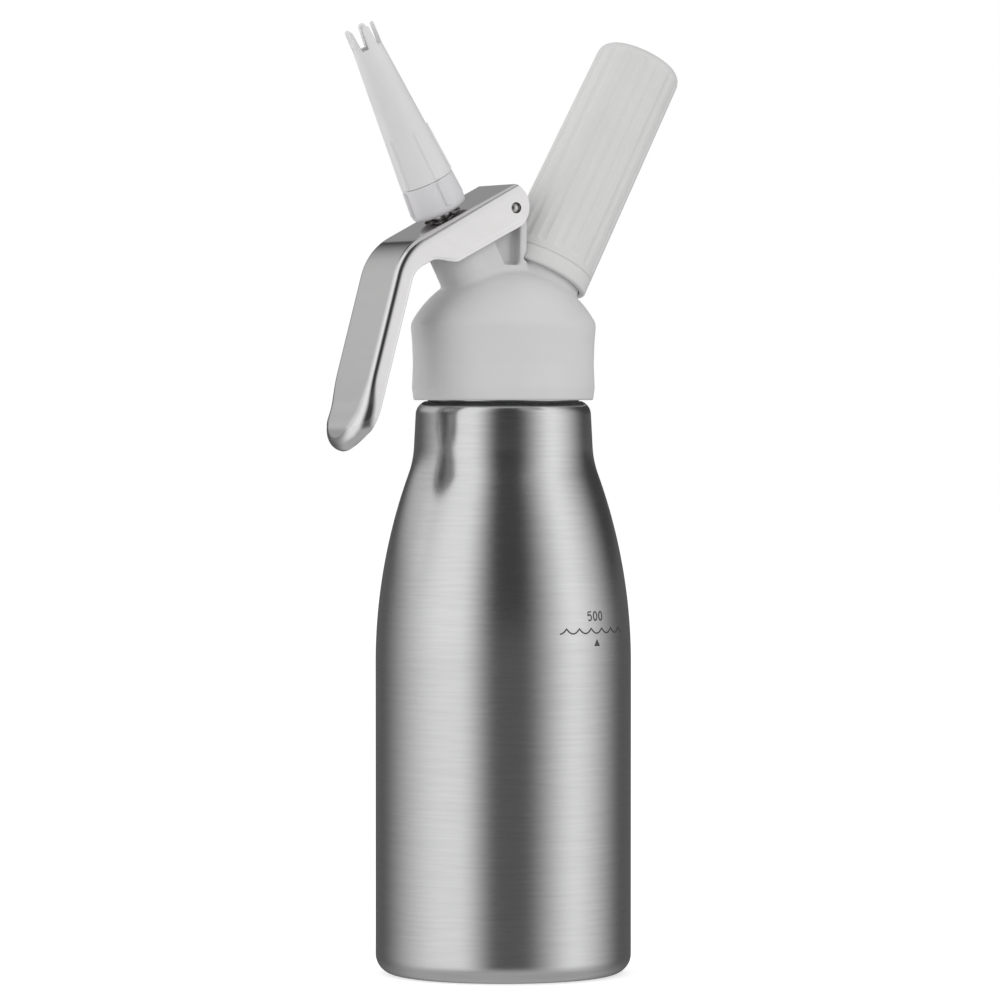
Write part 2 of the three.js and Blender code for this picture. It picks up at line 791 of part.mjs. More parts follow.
// Nozzle adapter and decorator tip

// A rib that stands on a cone and runs out towards its far end.
function coneRib(width, foot, footRadius, footHeight, top, topRadius, topHeight) {
  const level = (height, radius, proud) => [
    new THREE.Vector3(radius - width, -width / 2, height),
    new THREE.Vector3(radius + proud, -width / 2, height),
    new THREE.Vector3(radius + proud, width / 2, height),
    new THREE.Vector3(radius - width, width / 2, height),
  ];
  return toSolid(loft([level(foot, footRadius, footHeight), level(top, topRadius, topHeight)]));
}

function pattern(solid, count, azimuth) {
  const copies = Array.from({ length: count }, (_, copy) => turned(solid, azimuth + 360 * copy / count));
  return copies.reduce((joined, copy) => joined.add(copy));
}

function adapterGeometry() {
  const boreRadius = stemThreadRadius + seatGap;
  const body = toSolid(revolve([
    [boreRadius, adapterFoot],
    ...arcPoints(
      adapterFootRadius - adapterFootRound, adapterFoot + adapterFootRound,
      adapterFootRound, -90, 0, edgeSteps,
    ),
    [adapterTopRadius, adapterTop],
    [adapterSpigotRadius, adapterTop],
    [adapterSpigotRadius, adapterTop + adapterSpigotLength],
    [adapterFlowRadius, adapterTop + adapterSpigotLength],
    [adapterFlowRadius, stemTop + seatGap],
    [boreRadius, stemTop + seatGap],
  ], tubeSides));
  const slope = (adapterFootRadius - adapterTopRadius) / (adapterHeight - adapterFootRound);
  const rib = coneRib(
    adapterRibWidth,
    adapterTop - adapterRibLength, adapterTopRadius + slope * adapterRibLength, adapterRibHeight,
    adapterTop, adapterTopRadius, adapterRibHeight,
  );
  return toGeometry(body.add(pattern(rib, adapterRibCount, ribAzimuth)));
}

function toothGap() {
  const rootHalf = toothGapRootWidth / 2;
  const topHalf = toothGapTopWidth / 2;
  const outline = [
    [-rootHalf, toothRoot],
    [rootHalf, toothRoot],
    ...arcPoints(topHalf + toothTipRound, tipTop - toothTipRound, toothTipRound, 180, 90, edgeSteps),
    [topHalf + toothTipRound, tipTop + overrun],
    [-topHalf - toothTipRound, tipTop + overrun],
    ...arcPoints(-topHalf - toothTipRound, tipTop - toothTipRound, toothTipRound, 90, 0, edgeSteps),
  ];
  const reach = tipCrownTopRadius + overrun;
  return toSolid(extrudeAcross(outline, reach)).translate([0, reach / 2, 0]);
}

function tipGeometry() {
  const socketRadius = adapterSpigotRadius + seatGap;
  const socketTop = tipFoot + tipSocketDepth;
  const coneSlope = (tipFootRadius - tipCrownRootRadius) / (toothRoot - tipFoot);
  const radiusAt = (height) => tipFootRadius - coneSlope * (height - tipFoot);
  const body = toSolid(revolve([
    [socketRadius, tipFoot],
    [tipFootRadius, tipFoot],
    [tipCrownRootRadius, toothRoot],
    [tipCrownTopRadius, tipTop],
    [tipCrownTopRadius - tipWall, tipTop],
    [tipCrownRootRadius - tipWall, toothRoot],
    [radiusAt(socketTop + tipSocketStep) - tipWall, socketTop + tipSocketStep],
    [socketRadius, socketTop],
  ], tubeSides));
  const rib = coneRib(
    tipRibWidth, tipFoot, tipFootRadius, tipRibHeight,
    tipFoot + tipRibLength, radiusAt(tipFoot + tipRibLength), 0,
  );
  return toGeometry(
    body
      .add(pattern(rib, tipRibCount, ribAzimuth))
      .subtract(pattern(toothGap(), toothCount, toothAzimuth)),
  );
}

// Charging valve, on the charging axis

function chargingValveGeometry() {
  return revolve([
    [gasBoreRadius, valveShaftEnd - valveStubLength],
    [valveStubRadius, valveShaftEnd - valveStubLength],
    [valveStubRadius, valveShaftEnd],
    [valveShaftRadius, valveShaftEnd],
    [valveShaftRadius, valveFlangeFoot],
    [valveFlangeRadius, valveFlangeFoot],
    [valveFlangeRadius, valveFlangeTop],
    [valveStudRadius, valveFlangeTop],
    [valveStudRadius, valveStudTop - stemChamfer],
    [valveStudRadius - stemChamfer, valveStudTop],
    [chargerSocketRadius, valveStudTop],
    [chargerSocketRadius, chargerSocketFloor],
    [pierceBaseRadius + seatGap, chargerSocketFloor],
    [pierceBaseRadius + seatGap, pierceFoot - seatGap],
    [gasBoreRadius, pierceFoot - seatGap],
  ], smallSides);
}

function chargingValveWasherGeometry() {
  return ring(
    valveShaftRadius + seatGap, valveFlangeRadius,
    valveWasherFoot, valveWasherFoot + valveWasherThickness, smallSides,
  );
}

function chargingValveNutGeometry() {
  const top = holderBossFloor - seatGap;
  const blank = toSolid(rod(valveNutCornerRadius, top - valveNutThickness, top, 6));
  const hole = toSolid(rod(valveShaftRadius + seatGap, top - valveNutThickness - overrun, top + overrun, smallSides));
  return toGeometry(blank.subtract(hole));
}

function checkSleeveGeometry() {
  const innerRadius = valveStubRadius + seatGap;
  const top = valveShaftEnd - seatGap;
  return ring(innerRadius, innerRadius + checkSleeveWall, top - checkSleeveLength, top, smallSides);
}

function piercingPinGeometry() {
  const shoulder = pierceFoot + pierceBaseLength;
  return revolve([
    [0, pierceFoot],
    [pierceBaseRadius, pierceFoot],
    [pierceBaseRadius, shoulder],
    [pierceTipRadius, shoulder],
    [pierceTipRadius, shoulder + pierceTipLength / 2],
    [0, shoulder + pierceTipLength],
  ], smallSides);
}

function chargerSealGeometry() {
  return ring(
    pierceBaseRadius + seatGap, chargerSealRadius,
    chargerSealFoot, chargerSealFoot + chargerSealThickness, smallSides,
  );
}

function chargerGeometry() {
  const pierceRadius = pierceTipRadius + seatGap;
  const neckTopHeight = chargerFoot + chargerNeckLength;
  const bodyFoot = neckTopHeight + chargerShoulderRadius;
  const endCentre = chargerTop - chargerRadius;
  const neckInside = chargerNeckRadius - chargerWall;
  const shoulderInset = chargerRadius - chargerShoulderRadius;
  return revolve([
    [pierceRadius, chargerFoot],
    [chargerNeckRadius, chargerFoot],
    [chargerNeckRadius, neckTopHeight],
    ...arcPoints(shoulderInset, bodyFoot, chargerShoulderRadius, -60, 0, edgeSteps),
    ...arcPoints(0, endCentre, chargerRadius, 0, 90, 2 * edgeSteps),
    ...arcPoints(0, endCentre, chargerRadius - chargerWall, 90, 0, 2 * edgeSteps),
    ...arcPoints(shoulderInset, bodyFoot, chargerShoulderRadius - chargerWall, 0, -60, edgeSteps),
    [neckInside, neckTopHeight],
    [neckInside, chargerFoot + chargerWall],
    [pierceRadius, chargerFoot + chargerWall],
  ], smallSides);
}

// Charger holder: tapered cap with shallow flutes and a pressed-in thread insert

function holderWallRadius(height) {
  return THREE.MathUtils.mapLinear(height, holderFoot, holderTop, holderFootRadius, holderTopRadius);
}

function fluteCutter() {
  const cutRadius = ((fluteWidth / 2) ** 2 + fluteDepth ** 2) / (2 * fluteDepth);
  const foot = holderFoot + fluteStart + cutRadius;
  const lean = Math.atan2(holderFootRadius - holderTopRadius, holderLength) / degree;
  const cutter = toSolid(revolve([
    ...arcPoints(0, 0, cutRadius, -90, 0, edgeSteps),
    [cutRadius, holderLength],
    [0, holderLength],
  ], fluteSides));
  return cutter
    .rotate([0, -lean, 0])
    .translate([holderWallRadius(foot) + cutRadius - fluteDepth, 0, foot]);
}

function holderGeometry() {
  const insertBore = insertRadius + seatGap;
  const skirtBore = holderBossRadius + seatGap;
  const footRoundTop = holderFoot + holderFootRound;
  const topRoundFoot = holderTop - holderTopRound;
  const seamFoot = holderFoot + holderSeamHeight - holderSeamWidth / 2;
  const seamTop = seamFoot + holderSeamWidth;
  const footRound = Math.min(holderFootRound, holderWallRadius(footRoundTop) - skirtBore - seatGap / 2);
  const body = toSolid(revolve([
    [skirtBore, holderFoot],
    ...arcPoints(
      holderWallRadius(footRoundTop) - footRound, holderFoot + footRound,
      footRound, -90, 0, edgeSteps,
    ),
    [holderWallRadius(seamFoot), seamFoot],
    [holderWallRadius(seamFoot) - holderSeamDepth, seamFoot],
    [holderWallRadius(seamTop) - holderSeamDepth, seamTop],
    [holderWallRadius(seamTop), seamTop],
    ...arcPoints(
      holderWallRadius(topRoundFoot) - holderTopRound, topRoundFoot,
      holderTopRound, 0, 90, 2 * edgeSteps,
    ),
    [0, holderTop],
    [0, chargerTop + seatGap],
    [holderBoreRadius, chargerTop + seatGap],
    [holderBoreRadius, insertTop + seatGap],
    [insertBore, insertTop + seatGap],
    [insertBore, holderSeat],
    [skirtBore, holderSeat],
    [skirtBore, holderFoot],
  ], 3 * fluteCount));
  return toGeometry(body.subtract(pattern(fluteCutter(), fluteCount, fluteAzimuth)));
}

function holderInsertGeometry() {
  return ring(insertBoreRadius, insertRadius, insertFoot, insertTop, smallSides);
}

// Finishes

const brushedSteel = new THREE.MeshStandardMaterial({ color: 0xb9b9bb, roughness: 0.34, metalness: 1 });
const polishedSteel = new THREE.MeshStandardMaterial({ color: 0xd5d4d3, roughness: 0.14, metalness: 1 });
const turnedSteel = new THREE.MeshStandardMaterial({ color: 0x9c9a98, roughness: 0.3, metalness: 1 });
const springSteel = new THREE.MeshStandardMaterial({ color: 0x8f9092, roughness: 0.35, metalness: 1 });
const zincSteel = new THREE.MeshStandardMaterial({ color: 0xa7a8a4, roughness: 0.32, metalness: 1 });
const whitePlastic = new THREE.MeshStandardMaterial({ color: 0xe4e3e2, roughness: 0.45, metalness: 0 });
const paleGreyPlastic = new THREE.MeshStandardMaterial({ color: 0xdcdade, roughness: 0.45, metalness: 0 });
const paleRubber = new THREE.MeshStandardMaterial({ color: 0xcfc9be, roughness: 0.8, metalness: 0 });
const redRubber = new THREE.MeshStandardMaterial({ color: 0x9c3b33, roughness: 0.8, metalness: 0 });

// Assembly

const dispenser = new THREE.Group();

const nozzleFrame = new THREE.Group();
nozzleFrame.position.z = nozzleOrigin;
nozzleFrame.rotation.y = -nozzleTilt * degree;

const holderFrame = new THREE.Group();
holderFrame.position.z = holderOrigin;
holderFrame.rotation.y = holderTilt * degree;

const leverPin = piece('lever_pin', leverPinGeometry(), turnedSteel);
leverPin.position.set(pivotOffset, 0, pivotDistance);

nozzleFrame.add(
  piece('lever', leverGeometry(), polishedSteel),
  leverPin,
  piece('thrust_nut', thrustNutGeometry(), turnedSteel),
  piece('valve_stem', valveStemGeometry(), turnedSteel),
  piece('stem_o_ring', stemORingGeometry(), redRubber),
  piece('valve_seal', valveSealGeometry(), redRubber),
  piece('valve_spring', valveSpringGeometry(), springSteel),
  piece('nozzle_adapter', adapterGeometry(), paleGreyPlastic),
  piece('decorator_tip', tipGeometry(), whitePlastic),
);

holderFrame.add(
  piece('charging_valve_body', chargingValveGeometry(), turnedSteel),
  piece('charging_valve_washer', chargingValveWasherGeometry(), redRubber),
  piece('charging_valve_nut', chargingValveNutGeometry(), turnedSteel),
  piece('check_valve_sleeve', checkSleeveGeometry(), redRubber),
  piece('piercing_pin', piercingPinGeometry(), turnedSteel),
  piece('charger_seal', chargerSealGeometry(), redRubber),
  piece('gas_charger', chargerGeometry(), zincSteel),
  piece('charger_holder', holderGeometry(), whitePlastic),
  piece('holder_thread_insert', holderInsertGeometry(), turnedSteel),
);

dispenser.add(
  piece('bottle', bottleGeometry(), brushedSteel),
  piece('head_gasket', headGasketGeometry(), paleRubber),
  piece('head_body', headGeometry(), whitePlastic),
  nozzleFrame,
  holderFrame,
);

console.log(`valve spring, least gap to itself: ${springLeastGap().toFixed(2)} mm`);

export default dispenser;
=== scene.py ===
import bisect
import math
from functools import partial

import bmesh
import bpy
import numpy as np
from mathutils import Matrix, Vector


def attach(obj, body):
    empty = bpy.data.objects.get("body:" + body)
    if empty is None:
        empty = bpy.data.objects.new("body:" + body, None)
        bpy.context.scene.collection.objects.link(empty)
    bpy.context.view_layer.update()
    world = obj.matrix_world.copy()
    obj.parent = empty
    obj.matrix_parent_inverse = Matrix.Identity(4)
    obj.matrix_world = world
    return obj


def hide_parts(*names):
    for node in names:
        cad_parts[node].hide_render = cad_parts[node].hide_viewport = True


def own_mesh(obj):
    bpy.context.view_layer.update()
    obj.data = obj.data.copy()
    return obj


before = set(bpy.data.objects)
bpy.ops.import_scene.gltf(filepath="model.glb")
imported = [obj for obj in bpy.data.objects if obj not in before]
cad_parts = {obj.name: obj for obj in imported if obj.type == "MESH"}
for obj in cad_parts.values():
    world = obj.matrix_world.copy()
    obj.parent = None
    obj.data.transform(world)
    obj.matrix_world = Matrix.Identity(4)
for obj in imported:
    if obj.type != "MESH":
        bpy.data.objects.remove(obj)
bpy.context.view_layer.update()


# BOTTLE
# One deep drawn stainless steel shell: flat base, long shoulder, rim and threaded neck.
# The outside is brushed round the axis on a lathe, so its grain runs as fine level lines.

mm = 0.001
to_metres = Matrix.Diagonal((mm, mm, mm, 1))
bottle_axis = Matrix.Identity(4)
bottle_radius = 40
bottle_wall = 0.8
bottle_sides = 144
base_round = 6.2
base_rim = 12
straight_height = 97.45
shoulder_radius = 174
fillet_radius = 30
cone_turn = 3
cone_height = 10
rim_round = 4.5
rim_shelf = 3.05
neck_radius = 24.4
neck_height = 15.55
neck_root = 1
mouth_edge = 0.35
thread_depth = 0.7


def arc(centre, radius, start, end, steps):
    """Points of an arc in the plane of radius and height, angles in degrees."""
    turns = np.radians(np.linspace(start, end, steps + 1))
    return [(centre[0] + radius * math.cos(t), centre[1] + radius * math.sin(t)) for t in turns]


def eased(corners, steps=5):
    """Turns (radius, height, edge radius) corners into an outline with its edges broken by arcs."""
    most_share = 0.48
    outline = []
    for i, (r, z, edge) in enumerate(corners):
        here = Vector((r, z))
        if edge == 0:
            outline.append((r, z))
            continue
        before = Vector(corners[i - 1][:2]) - here
        after = Vector(corners[(i + 1) % len(corners)][:2]) - here
        half = before.angle(after) / 2
        reach = min(edge / math.tan(half), most_share * before.length, most_share * after.length)
        start = here + before.normalized() * reach
        end = here + after.normalized() * reach
        for step in range(steps + 1):
            share = step / steps
            point = start.lerp(here, share).lerp(here.lerp(end, share), share)
            outline.append((point.x, point.y))
    return outline


def skinned(work, rows, closed=True):
    """Faces between neighbouring rows of points; points that fall together give a smaller face."""
    for low, high in zip(rows, rows[1:]):
        for i in range(len(low) if closed else len(low) - 1):
            j = (i + 1) % len(low)
            corners = list(dict.fromkeys([low[i], low[j], high[j], high[i]]))
            if len(corners) > 2:
                work.faces.new(corners)


def turned_work(outline, sides):
    """A closed outline of (radius, height) in millimetres, turned round its axis."""
    no_radius = 1e-6
    work = bmesh.new()
    turns = [2 * math.pi * side / sides for side in range(sides)]
    rings = []
    for r, z in outline:
        if r < no_radius:
            rings.append([work.verts.new((0, 0, z))] * sides)
        else:
            rings.append([work.verts.new((r * math.cos(turn), r * math.sin(turn), z)) for turn in turns])
    skinned(work, rings + rings[:1])
    return work


def shown(name, mesh, body):
    """Shows a mesh as a piece that rides on a body."""
    piece = bpy.data.objects.new(name, mesh)
    bpy.context.scene.collection.objects.link(piece)
    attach(piece, body)
    return piece


def smoothed(mesh, crease):
    mesh.shade_smooth()
    mesh.set_sharp_from_angle(angle=math.radians(crease))


def to_mesh(name, work):
    """Turns a drawing into a mesh and lets the drawing go."""
    mesh = bpy.data.meshes.new(name)
    work.to_mesh(mesh)
    work.free()
    return mesh


def finished(name, work, place, body, crease=40):
    """Closes a drawing in millimetres, lays it along its axis and shows it as a piece."""
    weld_gap, no_length = 1e-4, 1e-5
    bmesh.ops.remove_doubles(work, verts=work.verts, dist=weld_gap)
    bmesh.ops.dissolve_degenerate(work, edges=work.edges, dist=no_length)
    bmesh.ops.recalc_face_normals(work, faces=work.faces)
    bmesh.ops.transform(work, matrix=to_metres @ place, verts=work.verts)
    mesh = to_mesh(name, work)
    smoothed(mesh, crease)
    return shown(name, mesh, body)


def turned(name, outline, place, body, sides=72):
    return finished(name, turned_work(outline, sides), place, body)


def bottle_side(inset):
    """The outside of the bottle from its axis to the rim, set in by a wall, and the height of its rim."""
    base_steps, shoulder_steps, round_steps = 14, 30, 10
    cone = math.radians(cone_turn)
    cone_foot_radius = neck_radius + rim_shelf + cone_height * math.tan(cone)
    turn = math.acos((shoulder_radius - bottle_radius + cone_foot_radius + fillet_radius * math.cos(cone))
                     / (shoulder_radius + fillet_radius))
    shoulder_turn = math.degrees(turn)
    shoulder = (bottle_radius - shoulder_radius * (1 - math.cos(turn)),
                straight_height + shoulder_radius * math.sin(turn))
    fillet = (shoulder[0] + fillet_radius * math.cos(turn), shoulder[1] + fillet_radius * math.sin(turn))
    cone_foot = (fillet[0] - fillet_radius * math.cos(cone), fillet[1] - fillet_radius * math.sin(cone))
    rim_foot = (cone_foot[0] - cone_height * math.tan(cone), cone_foot[1] + cone_height)
    rim_turn = math.acos((neck_radius - rim_foot[0] + rim_round) / rim_round)
    side = [(0, inset), (bottle_radius - base_round - base_rim, inset)]
    side += arc((bottle_radius - base_round, base_round), base_round - inset, -90, 0, base_steps)
    side += arc((bottle_radius - shoulder_radius, straight_height), shoulder_radius - inset,
                0, shoulder_turn, shoulder_steps)
    side += arc(fillet, fillet_radius + inset, 180 + shoulder_turn, 180 + cone_turn, round_steps)[1:]
    side += arc((rim_foot[0] - rim_round, rim_foot[1]), rim_round - inset,
                cone_turn, math.degrees(rim_turn), round_steps)
    return side, rim_foot[1] + rim_round * math.sin(rim_turn)


outside, rim_height = bottle_side(0)
inside, _ = bottle_side(bottle_wall)
mouth_height = rim_height + neck_height
thread_core = neck_radius - thread_depth
neck_bore = thread_core - bottle_wall
mouth = eased([
    (thread_core, rim_height, 0), (thread_core, mouth_height, mouth_edge),
    (neck_bore, mouth_height, mouth_edge), (neck_bore, rim_height + neck_root, 0),
], steps=4)
bottle_outline = outside + mouth + inside[::-1]
bottle = turned("bottle_shell", bottle_outline, bottle_axis, "bottle", bottle_sides)


def node(tree, kind, values=(), **settings):
    """A node with its settings and its inputs' own values."""
    made = tree.nodes.new(kind)
    for key, value in settings.items():
        setattr(made, key, value)
    for key, value in dict(values).items():
        made.inputs[key].default_value = value
    return made


def link(tree, *pairs):
    for source, target in pairs:
        tree.links.new(source, target)


def maths(tree, operation, *values):
    """One step of a sum with the nodes of a tree: its values are numbers or outputs of other nodes."""
    made = node(tree, "ShaderNodeMath", operation=operation)
    for i, value in enumerate(values):
        if isinstance(value, (int, float)):
            made.inputs[i].default_value = value
        else:
            link(tree, (value, made.inputs[i]))
    return made.outputs[0]


def node_group(name, kind, gives, takes):
    """An empty group of nodes with its sockets: the group, what comes in and what goes out."""
    group = bpy.data.node_groups.new(name, kind)
    for side, sockets in (("OUTPUT", gives), ("INPUT", takes)):
        for label, socket_kind in sockets.items():
            group.interface.new_socket(name=label, in_out=side, socket_type="NodeSocket" + socket_kind)
    return group, group.nodes.new("NodeGroupInput").outputs, group.nodes.new("NodeGroupOutput").inputs


def lathe_lines_group():
    """Fine level lines left by a brush or a turning tool, with slow changes of tone along them."""
    fine_share = 0.55
    group, given, result = node_group(
        "lathe_lines", "ShaderNodeTree", {"Height": "Float", "Tone": "Float"},
        {"Place": "Vector", "Lines per Metre": "Float", "Streaks per Metre": "Float"})
    spread = node(group, "ShaderNodeCombineXYZ")
    stretched = node(group, "ShaderNodeVectorMath", operation="MULTIPLY")
    fine = node(group, "ShaderNodeTexNoise", {"Scale": 1.0, "Detail": 3.0, "Roughness": 0.65})
    broad = node(group, "ShaderNodeTexNoise", {"Scale": 0.21, "Detail": 2.0, "Roughness": 0.5})
    link(
        group,
        (given["Streaks per Metre"], spread.inputs["X"]),
        (given["Streaks per Metre"], spread.inputs["Y"]),
        (given["Lines per Metre"], spread.inputs["Z"]),
        (given["Place"], stretched.inputs[0]),
        (spread.outputs[0], stretched.inputs[1]),
        (stretched.outputs[0], fine.inputs["Vector"]),
        (stretched.outputs[0], broad.inputs["Vector"]),
        (fine.outputs["Fac"], result["Height"]),
        (maths(group, "MULTIPLY_ADD", fine.outputs["Fac"], fine_share, broad.outputs["Fac"]), result["Tone"]),
    )
    return group


lathe_lines = lathe_lines_group()


def new_material(name):
    """A material with its tree of nodes and its surface."""
    material = bpy.data.materials.new(name)
    material.use_nodes = True
    return material, material.node_tree, material.node_tree.nodes["Principled BSDF"]


def spread_over(tree, value, low, high, at_low, at_high):
    """Spreads a value that runs from low to high over a range of its own."""
    spread = node(tree, "ShaderNodeMapRange",
                  {"From Min": low, "From Max": high, "To Min": at_low, "To Max": at_high})
    link(tree, (value, spread.inputs["Value"]))
    return spread.outputs[0]


def toned(tree, colour, tone):
    """A colour made lighter and darker by a tone."""
    shade = node(tree, "ShaderNodeVectorMath", {0: colour}, operation="SCALE")
    link(tree, (tone, shade.inputs["Scale"]))
    return shade.outputs[0]


def marked_material(name, colour, group, settings, tone, rough, bump, axis_turn=0, axis_origin=0):
    """A material whose tone, roughness and relief follow a group of marks laid along an axis.

    The tone and the roughness are each an output of the group and the four ends of spread_over.
    """
    material, tree, surface = new_material(name)
    place = node(tree, "ShaderNodeTexCoord")
    aligned = node(tree, "ShaderNodeMapping", {
        "Rotation": (0, math.radians(axis_turn), 0), "Location": (0, 0, axis_origin * mm),
    }, vector_type="TEXTURE")
    marks = node(tree, "ShaderNodeGroup", settings, node_tree=group)
    raised = node(tree, "ShaderNodeBump", bump)
    shade = toned(tree, colour, spread_over(tree, marks.outputs[tone[0]], *tone[1:]))
    link(
        tree,
        (place.outputs["Object"], aligned.inputs["Vector"]),
        (aligned.outputs["Vector"], marks.inputs["Place"]),
        (shade, surface.inputs["Base Color"]),
        (spread_over(tree, marks.outputs[rough[0]], *rough[1:]), surface.inputs["Roughness"]),
        (marks.outputs["Height"], raised.inputs["Height"]),
        (raised.outputs["Normal"], surface.inputs["Normal"]),
    )
    return material, tree, surface, shade


def steel(name, colour, roughness, lines, streaks, relief, tone_change, axis_turn=0, axis_origin=0):
    """Stainless steel worked in fine lines round an axis."""
    smooth_share, rough_share = 0.85, 1.2
    line_depth = 0.05 * mm
    material, _, surface, _ = marked_material(
        name, colour, lathe_lines, {"Lines per Metre": lines, "Streaks per Metre": streaks},
        ("Tone", 0.45, 1.05, 1 - tone_change, 1 + tone_change),
        ("Height", 0.3, 0.7, roughness * smooth_share, roughness * rough_share),
        {"Strength": relief, "Distance": line_depth}, axis_turn, axis_origin)
    surface.inputs["Metallic"].default_value = 1.0
    return material


def wear(piece, material):
    piece.data.materials.clear()
    piece.data.materials.append(material)


def fitted(piece, node_name, material):
    """Puts a piece in the place of a solid and gives it its material."""
    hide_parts(node_name)
    wear(piece, material)


brushed_steel = steel("brushed_steel", colour=(0.62, 0.62, 0.625), roughness=0.2, lines=5200, streaks=300,
                      relief=0.26, tone_change=0.045)
fitted(bottle, "bottle", brushed_steel)


# FILL MARK
# A level line of small waves with a plain number over it and a pointer under it, printed on the
# front right of the bottle. The ink is a thin dark film with no thickness to speak of.

mark_turn = math.radians(17.6)
mark_height = 109.3
mark_width = 28.8
wave_count = 6
wave_lift = 1.6
number_foot = 2.35
number_left = -0.35
digit_height = 2.65
digit_half = 0.75
digit_pitch = 2.45
pointer_half = 1.3
pointer_foot = -5.6
pointer_top = -3.4
ink_width = 0.46
ink_lift = 0.03


def shoulder_wall(height):
    """Radius of the bottle's outside at a height on its shoulder."""
    rise = max(height - straight_height, 0)
    return bottle_radius - shoulder_radius + math.sqrt(shoulder_radius ** 2 - rise ** 2)


def printed(name, work):
    """Lays a flat drawing in millimetres on the bottle's wall, its middle at the front right."""
    for vertex in work.verts:
        across, up = vertex.co.x, vertex.co.y
        angle = mark_turn + across / bottle_radius
        radius = shoulder_wall(mark_height + up) + ink_lift
        vertex.co = (radius * math.sin(angle), -radius * math.cos(angle), mark_height + up)
    bmesh.ops.transform(work, matrix=to_metres, verts=work.verts)
    wear(shown(name, to_mesh(name, work), "bottle"), ink)


def drawn_line(work, line, closed=False):
    """Gives a line of points the width of the pen."""
    rows = []
    count = len(line)
    for i, (x, y) in enumerate(line):
        before = Vector(line[(i - 1) % count] if closed else line[max(i - 1, 0)])
        after = Vector(line[(i + 1) % count] if closed else line[min(i + 1, count - 1)])
        slope = (after - before).normalized()
        across = Vector((-slope.y, slope.x)) * ink_width / 2
        rows.append([work.verts.new((x + side * across.x, y + side * across.y, 0)) for side in (1, -1)])
    skinned(work, rows + rows[:1] if closed else rows, closed=False)


def wave_work():
    """Shallow bowls that meet in points, as a level line is drawn on a vessel, half a bowl at each end."""
    bowl_steps, bowl_power = 16, 0.8
    work = bmesh.new()
    bowl = mark_width / wave_count
    line = []
    for step in range(wave_count * bowl_steps + 1):
        share = (step / bowl_steps + 0.5) % 1
        sag = wave_lift * math.sin(math.pi * share) ** bowl_power
        line.append((step / bowl_steps * bowl - mark_width / 2, -sag))
    drawn_line(work, line)
    return work


def number_work():
    """A plain number in millilitres: a five of two strokes and a bowl, and two drawn rings."""
    bar_share, stem_share, waist_share, bowl_share = 0.8, 0.9, 0.5, 0.33
    bowl_start, bowl_end, bowl_points = 128, -140, 24
    ring_points = 33
    work = bmesh.new()
    five = number_left - digit_pitch
    bowl_half = digit_height * bowl_share
    bowl = [(five + digit_half * math.cos(a), number_foot + bowl_half + bowl_half * math.sin(a))
            for a in np.radians(np.linspace(bowl_start, bowl_end, bowl_points))]
    drawn_line(work, [
        (five + digit_half, number_foot + digit_height),
        (five - digit_half * bar_share, number_foot + digit_height),
        (five - digit_half * stem_share, number_foot + digit_height * waist_share), *bowl,
    ])
    ring_half = digit_height / 2
    for middle in (number_left, number_left + digit_pitch):
        ring = [(middle + digit_half * math.cos(a), number_foot + ring_half + ring_half * math.sin(a))
                for a in np.linspace(0, 2 * math.pi, ring_points)[:-1]]
        drawn_line(work, ring, closed=True)
    return work


def pointer_work():
    work = bmesh.new()
    corners = ((-pointer_half, pointer_foot, 0), (pointer_half, pointer_foot, 0), (0, pointer_top, 0))
    work.faces.new([work.verts.new(corner) for corner in corners])
    return work


def ink_material():
    """Printed ink with a fine unevenness in its gloss and tone."""
    material, tree, surface = new_material("ink")
    place = node(tree, "ShaderNodeTexCoord")
    grain = node(tree, "ShaderNodeTexNoise", {"Scale": 3000.0, "Detail": 2.0})
    link(
        tree,
        (place.outputs["Object"], grain.inputs["Vector"]),
        (spread_over(tree, grain.outputs["Fac"], 0, 1, 0.35, 0.6), surface.inputs["Roughness"]),
        (toned(tree, (0.05, 0.05, 0.055), spread_over(tree, grain.outputs["Fac"], 0, 1, 0.7, 1.3)),
         surface.inputs["Base Color"]),
    )
    return material


ink = ink_material()
printed("fill_mark_wave", wave_work())
printed("fill_mark_number", number_work())
printed("fill_mark_pointer", pointer_work())


# HEAD
# One moulding: screw collar, dome, nozzle boss, charging boss and the post for the lever pin.
# All inner corners are filleted and the skin is finely spark eroded, so it looks matt.

collar_gap = 0.3
collar_foot = rim_height + collar_gap
collar_height = 23.8
collar_top = collar_foot + collar_height
collar_top_radius = 29
collar_profile = (
    (0, 28.1), (3.8, 28.6), (11.2, 28.3), (17.5, 28.5), (collar_height, collar_top_radius), (40, 29.6),
)
collar_relief_radius = 26.9
collar_relief_height = 4
bore_gap = 0.9
bore_over_mouth = 2.6
chamber_radius = 21.5
dome_radius = 32.6
dome_wall = 3.8
dome_centre = collar_top - math.sqrt(dome_radius ** 2 - collar_top_radius ** 2)
nozzle_tilt = 27
nozzle_origin = collar_foot + 14.7
nozzle_boss_radius = 9.3
nozzle_boss_foot = 7.2
nozzle_boss_top = 38.5
inner_boss_top = 25
charging_tilt = 28
charging_origin = collar_foot + 13.4
charging_boss_radius = 12.8
charging_boss_foot = 18
charging_boss_top = 30.3
inner_charging_foot = 23.5
inner_charging_top = 28
holder_room_radius = 15.5
holder_room_foot = 28.1
holder_room_top = 110
bores_top = 60
nozzle_bores = ((5.0, 0, bores_top), (7.2, 26, bores_top))
charging_bores = ((10.7, 26.9, bores_top), (5.8, 15, bores_top), (8.5, 17, 23.5))
pin_place = (18.4, 41.2)
pin_hole_radius = 1.75
pin_boss_radius = 4
lever_width = 25
lever_sheet = 1.2
lever_gap = 0.3
post_rear = 3.4
post_foot = 11
post_front = 14.4
pocket_floor = collar_foot + 42.6
pocket_rear = 0.5
pocket_front = 9
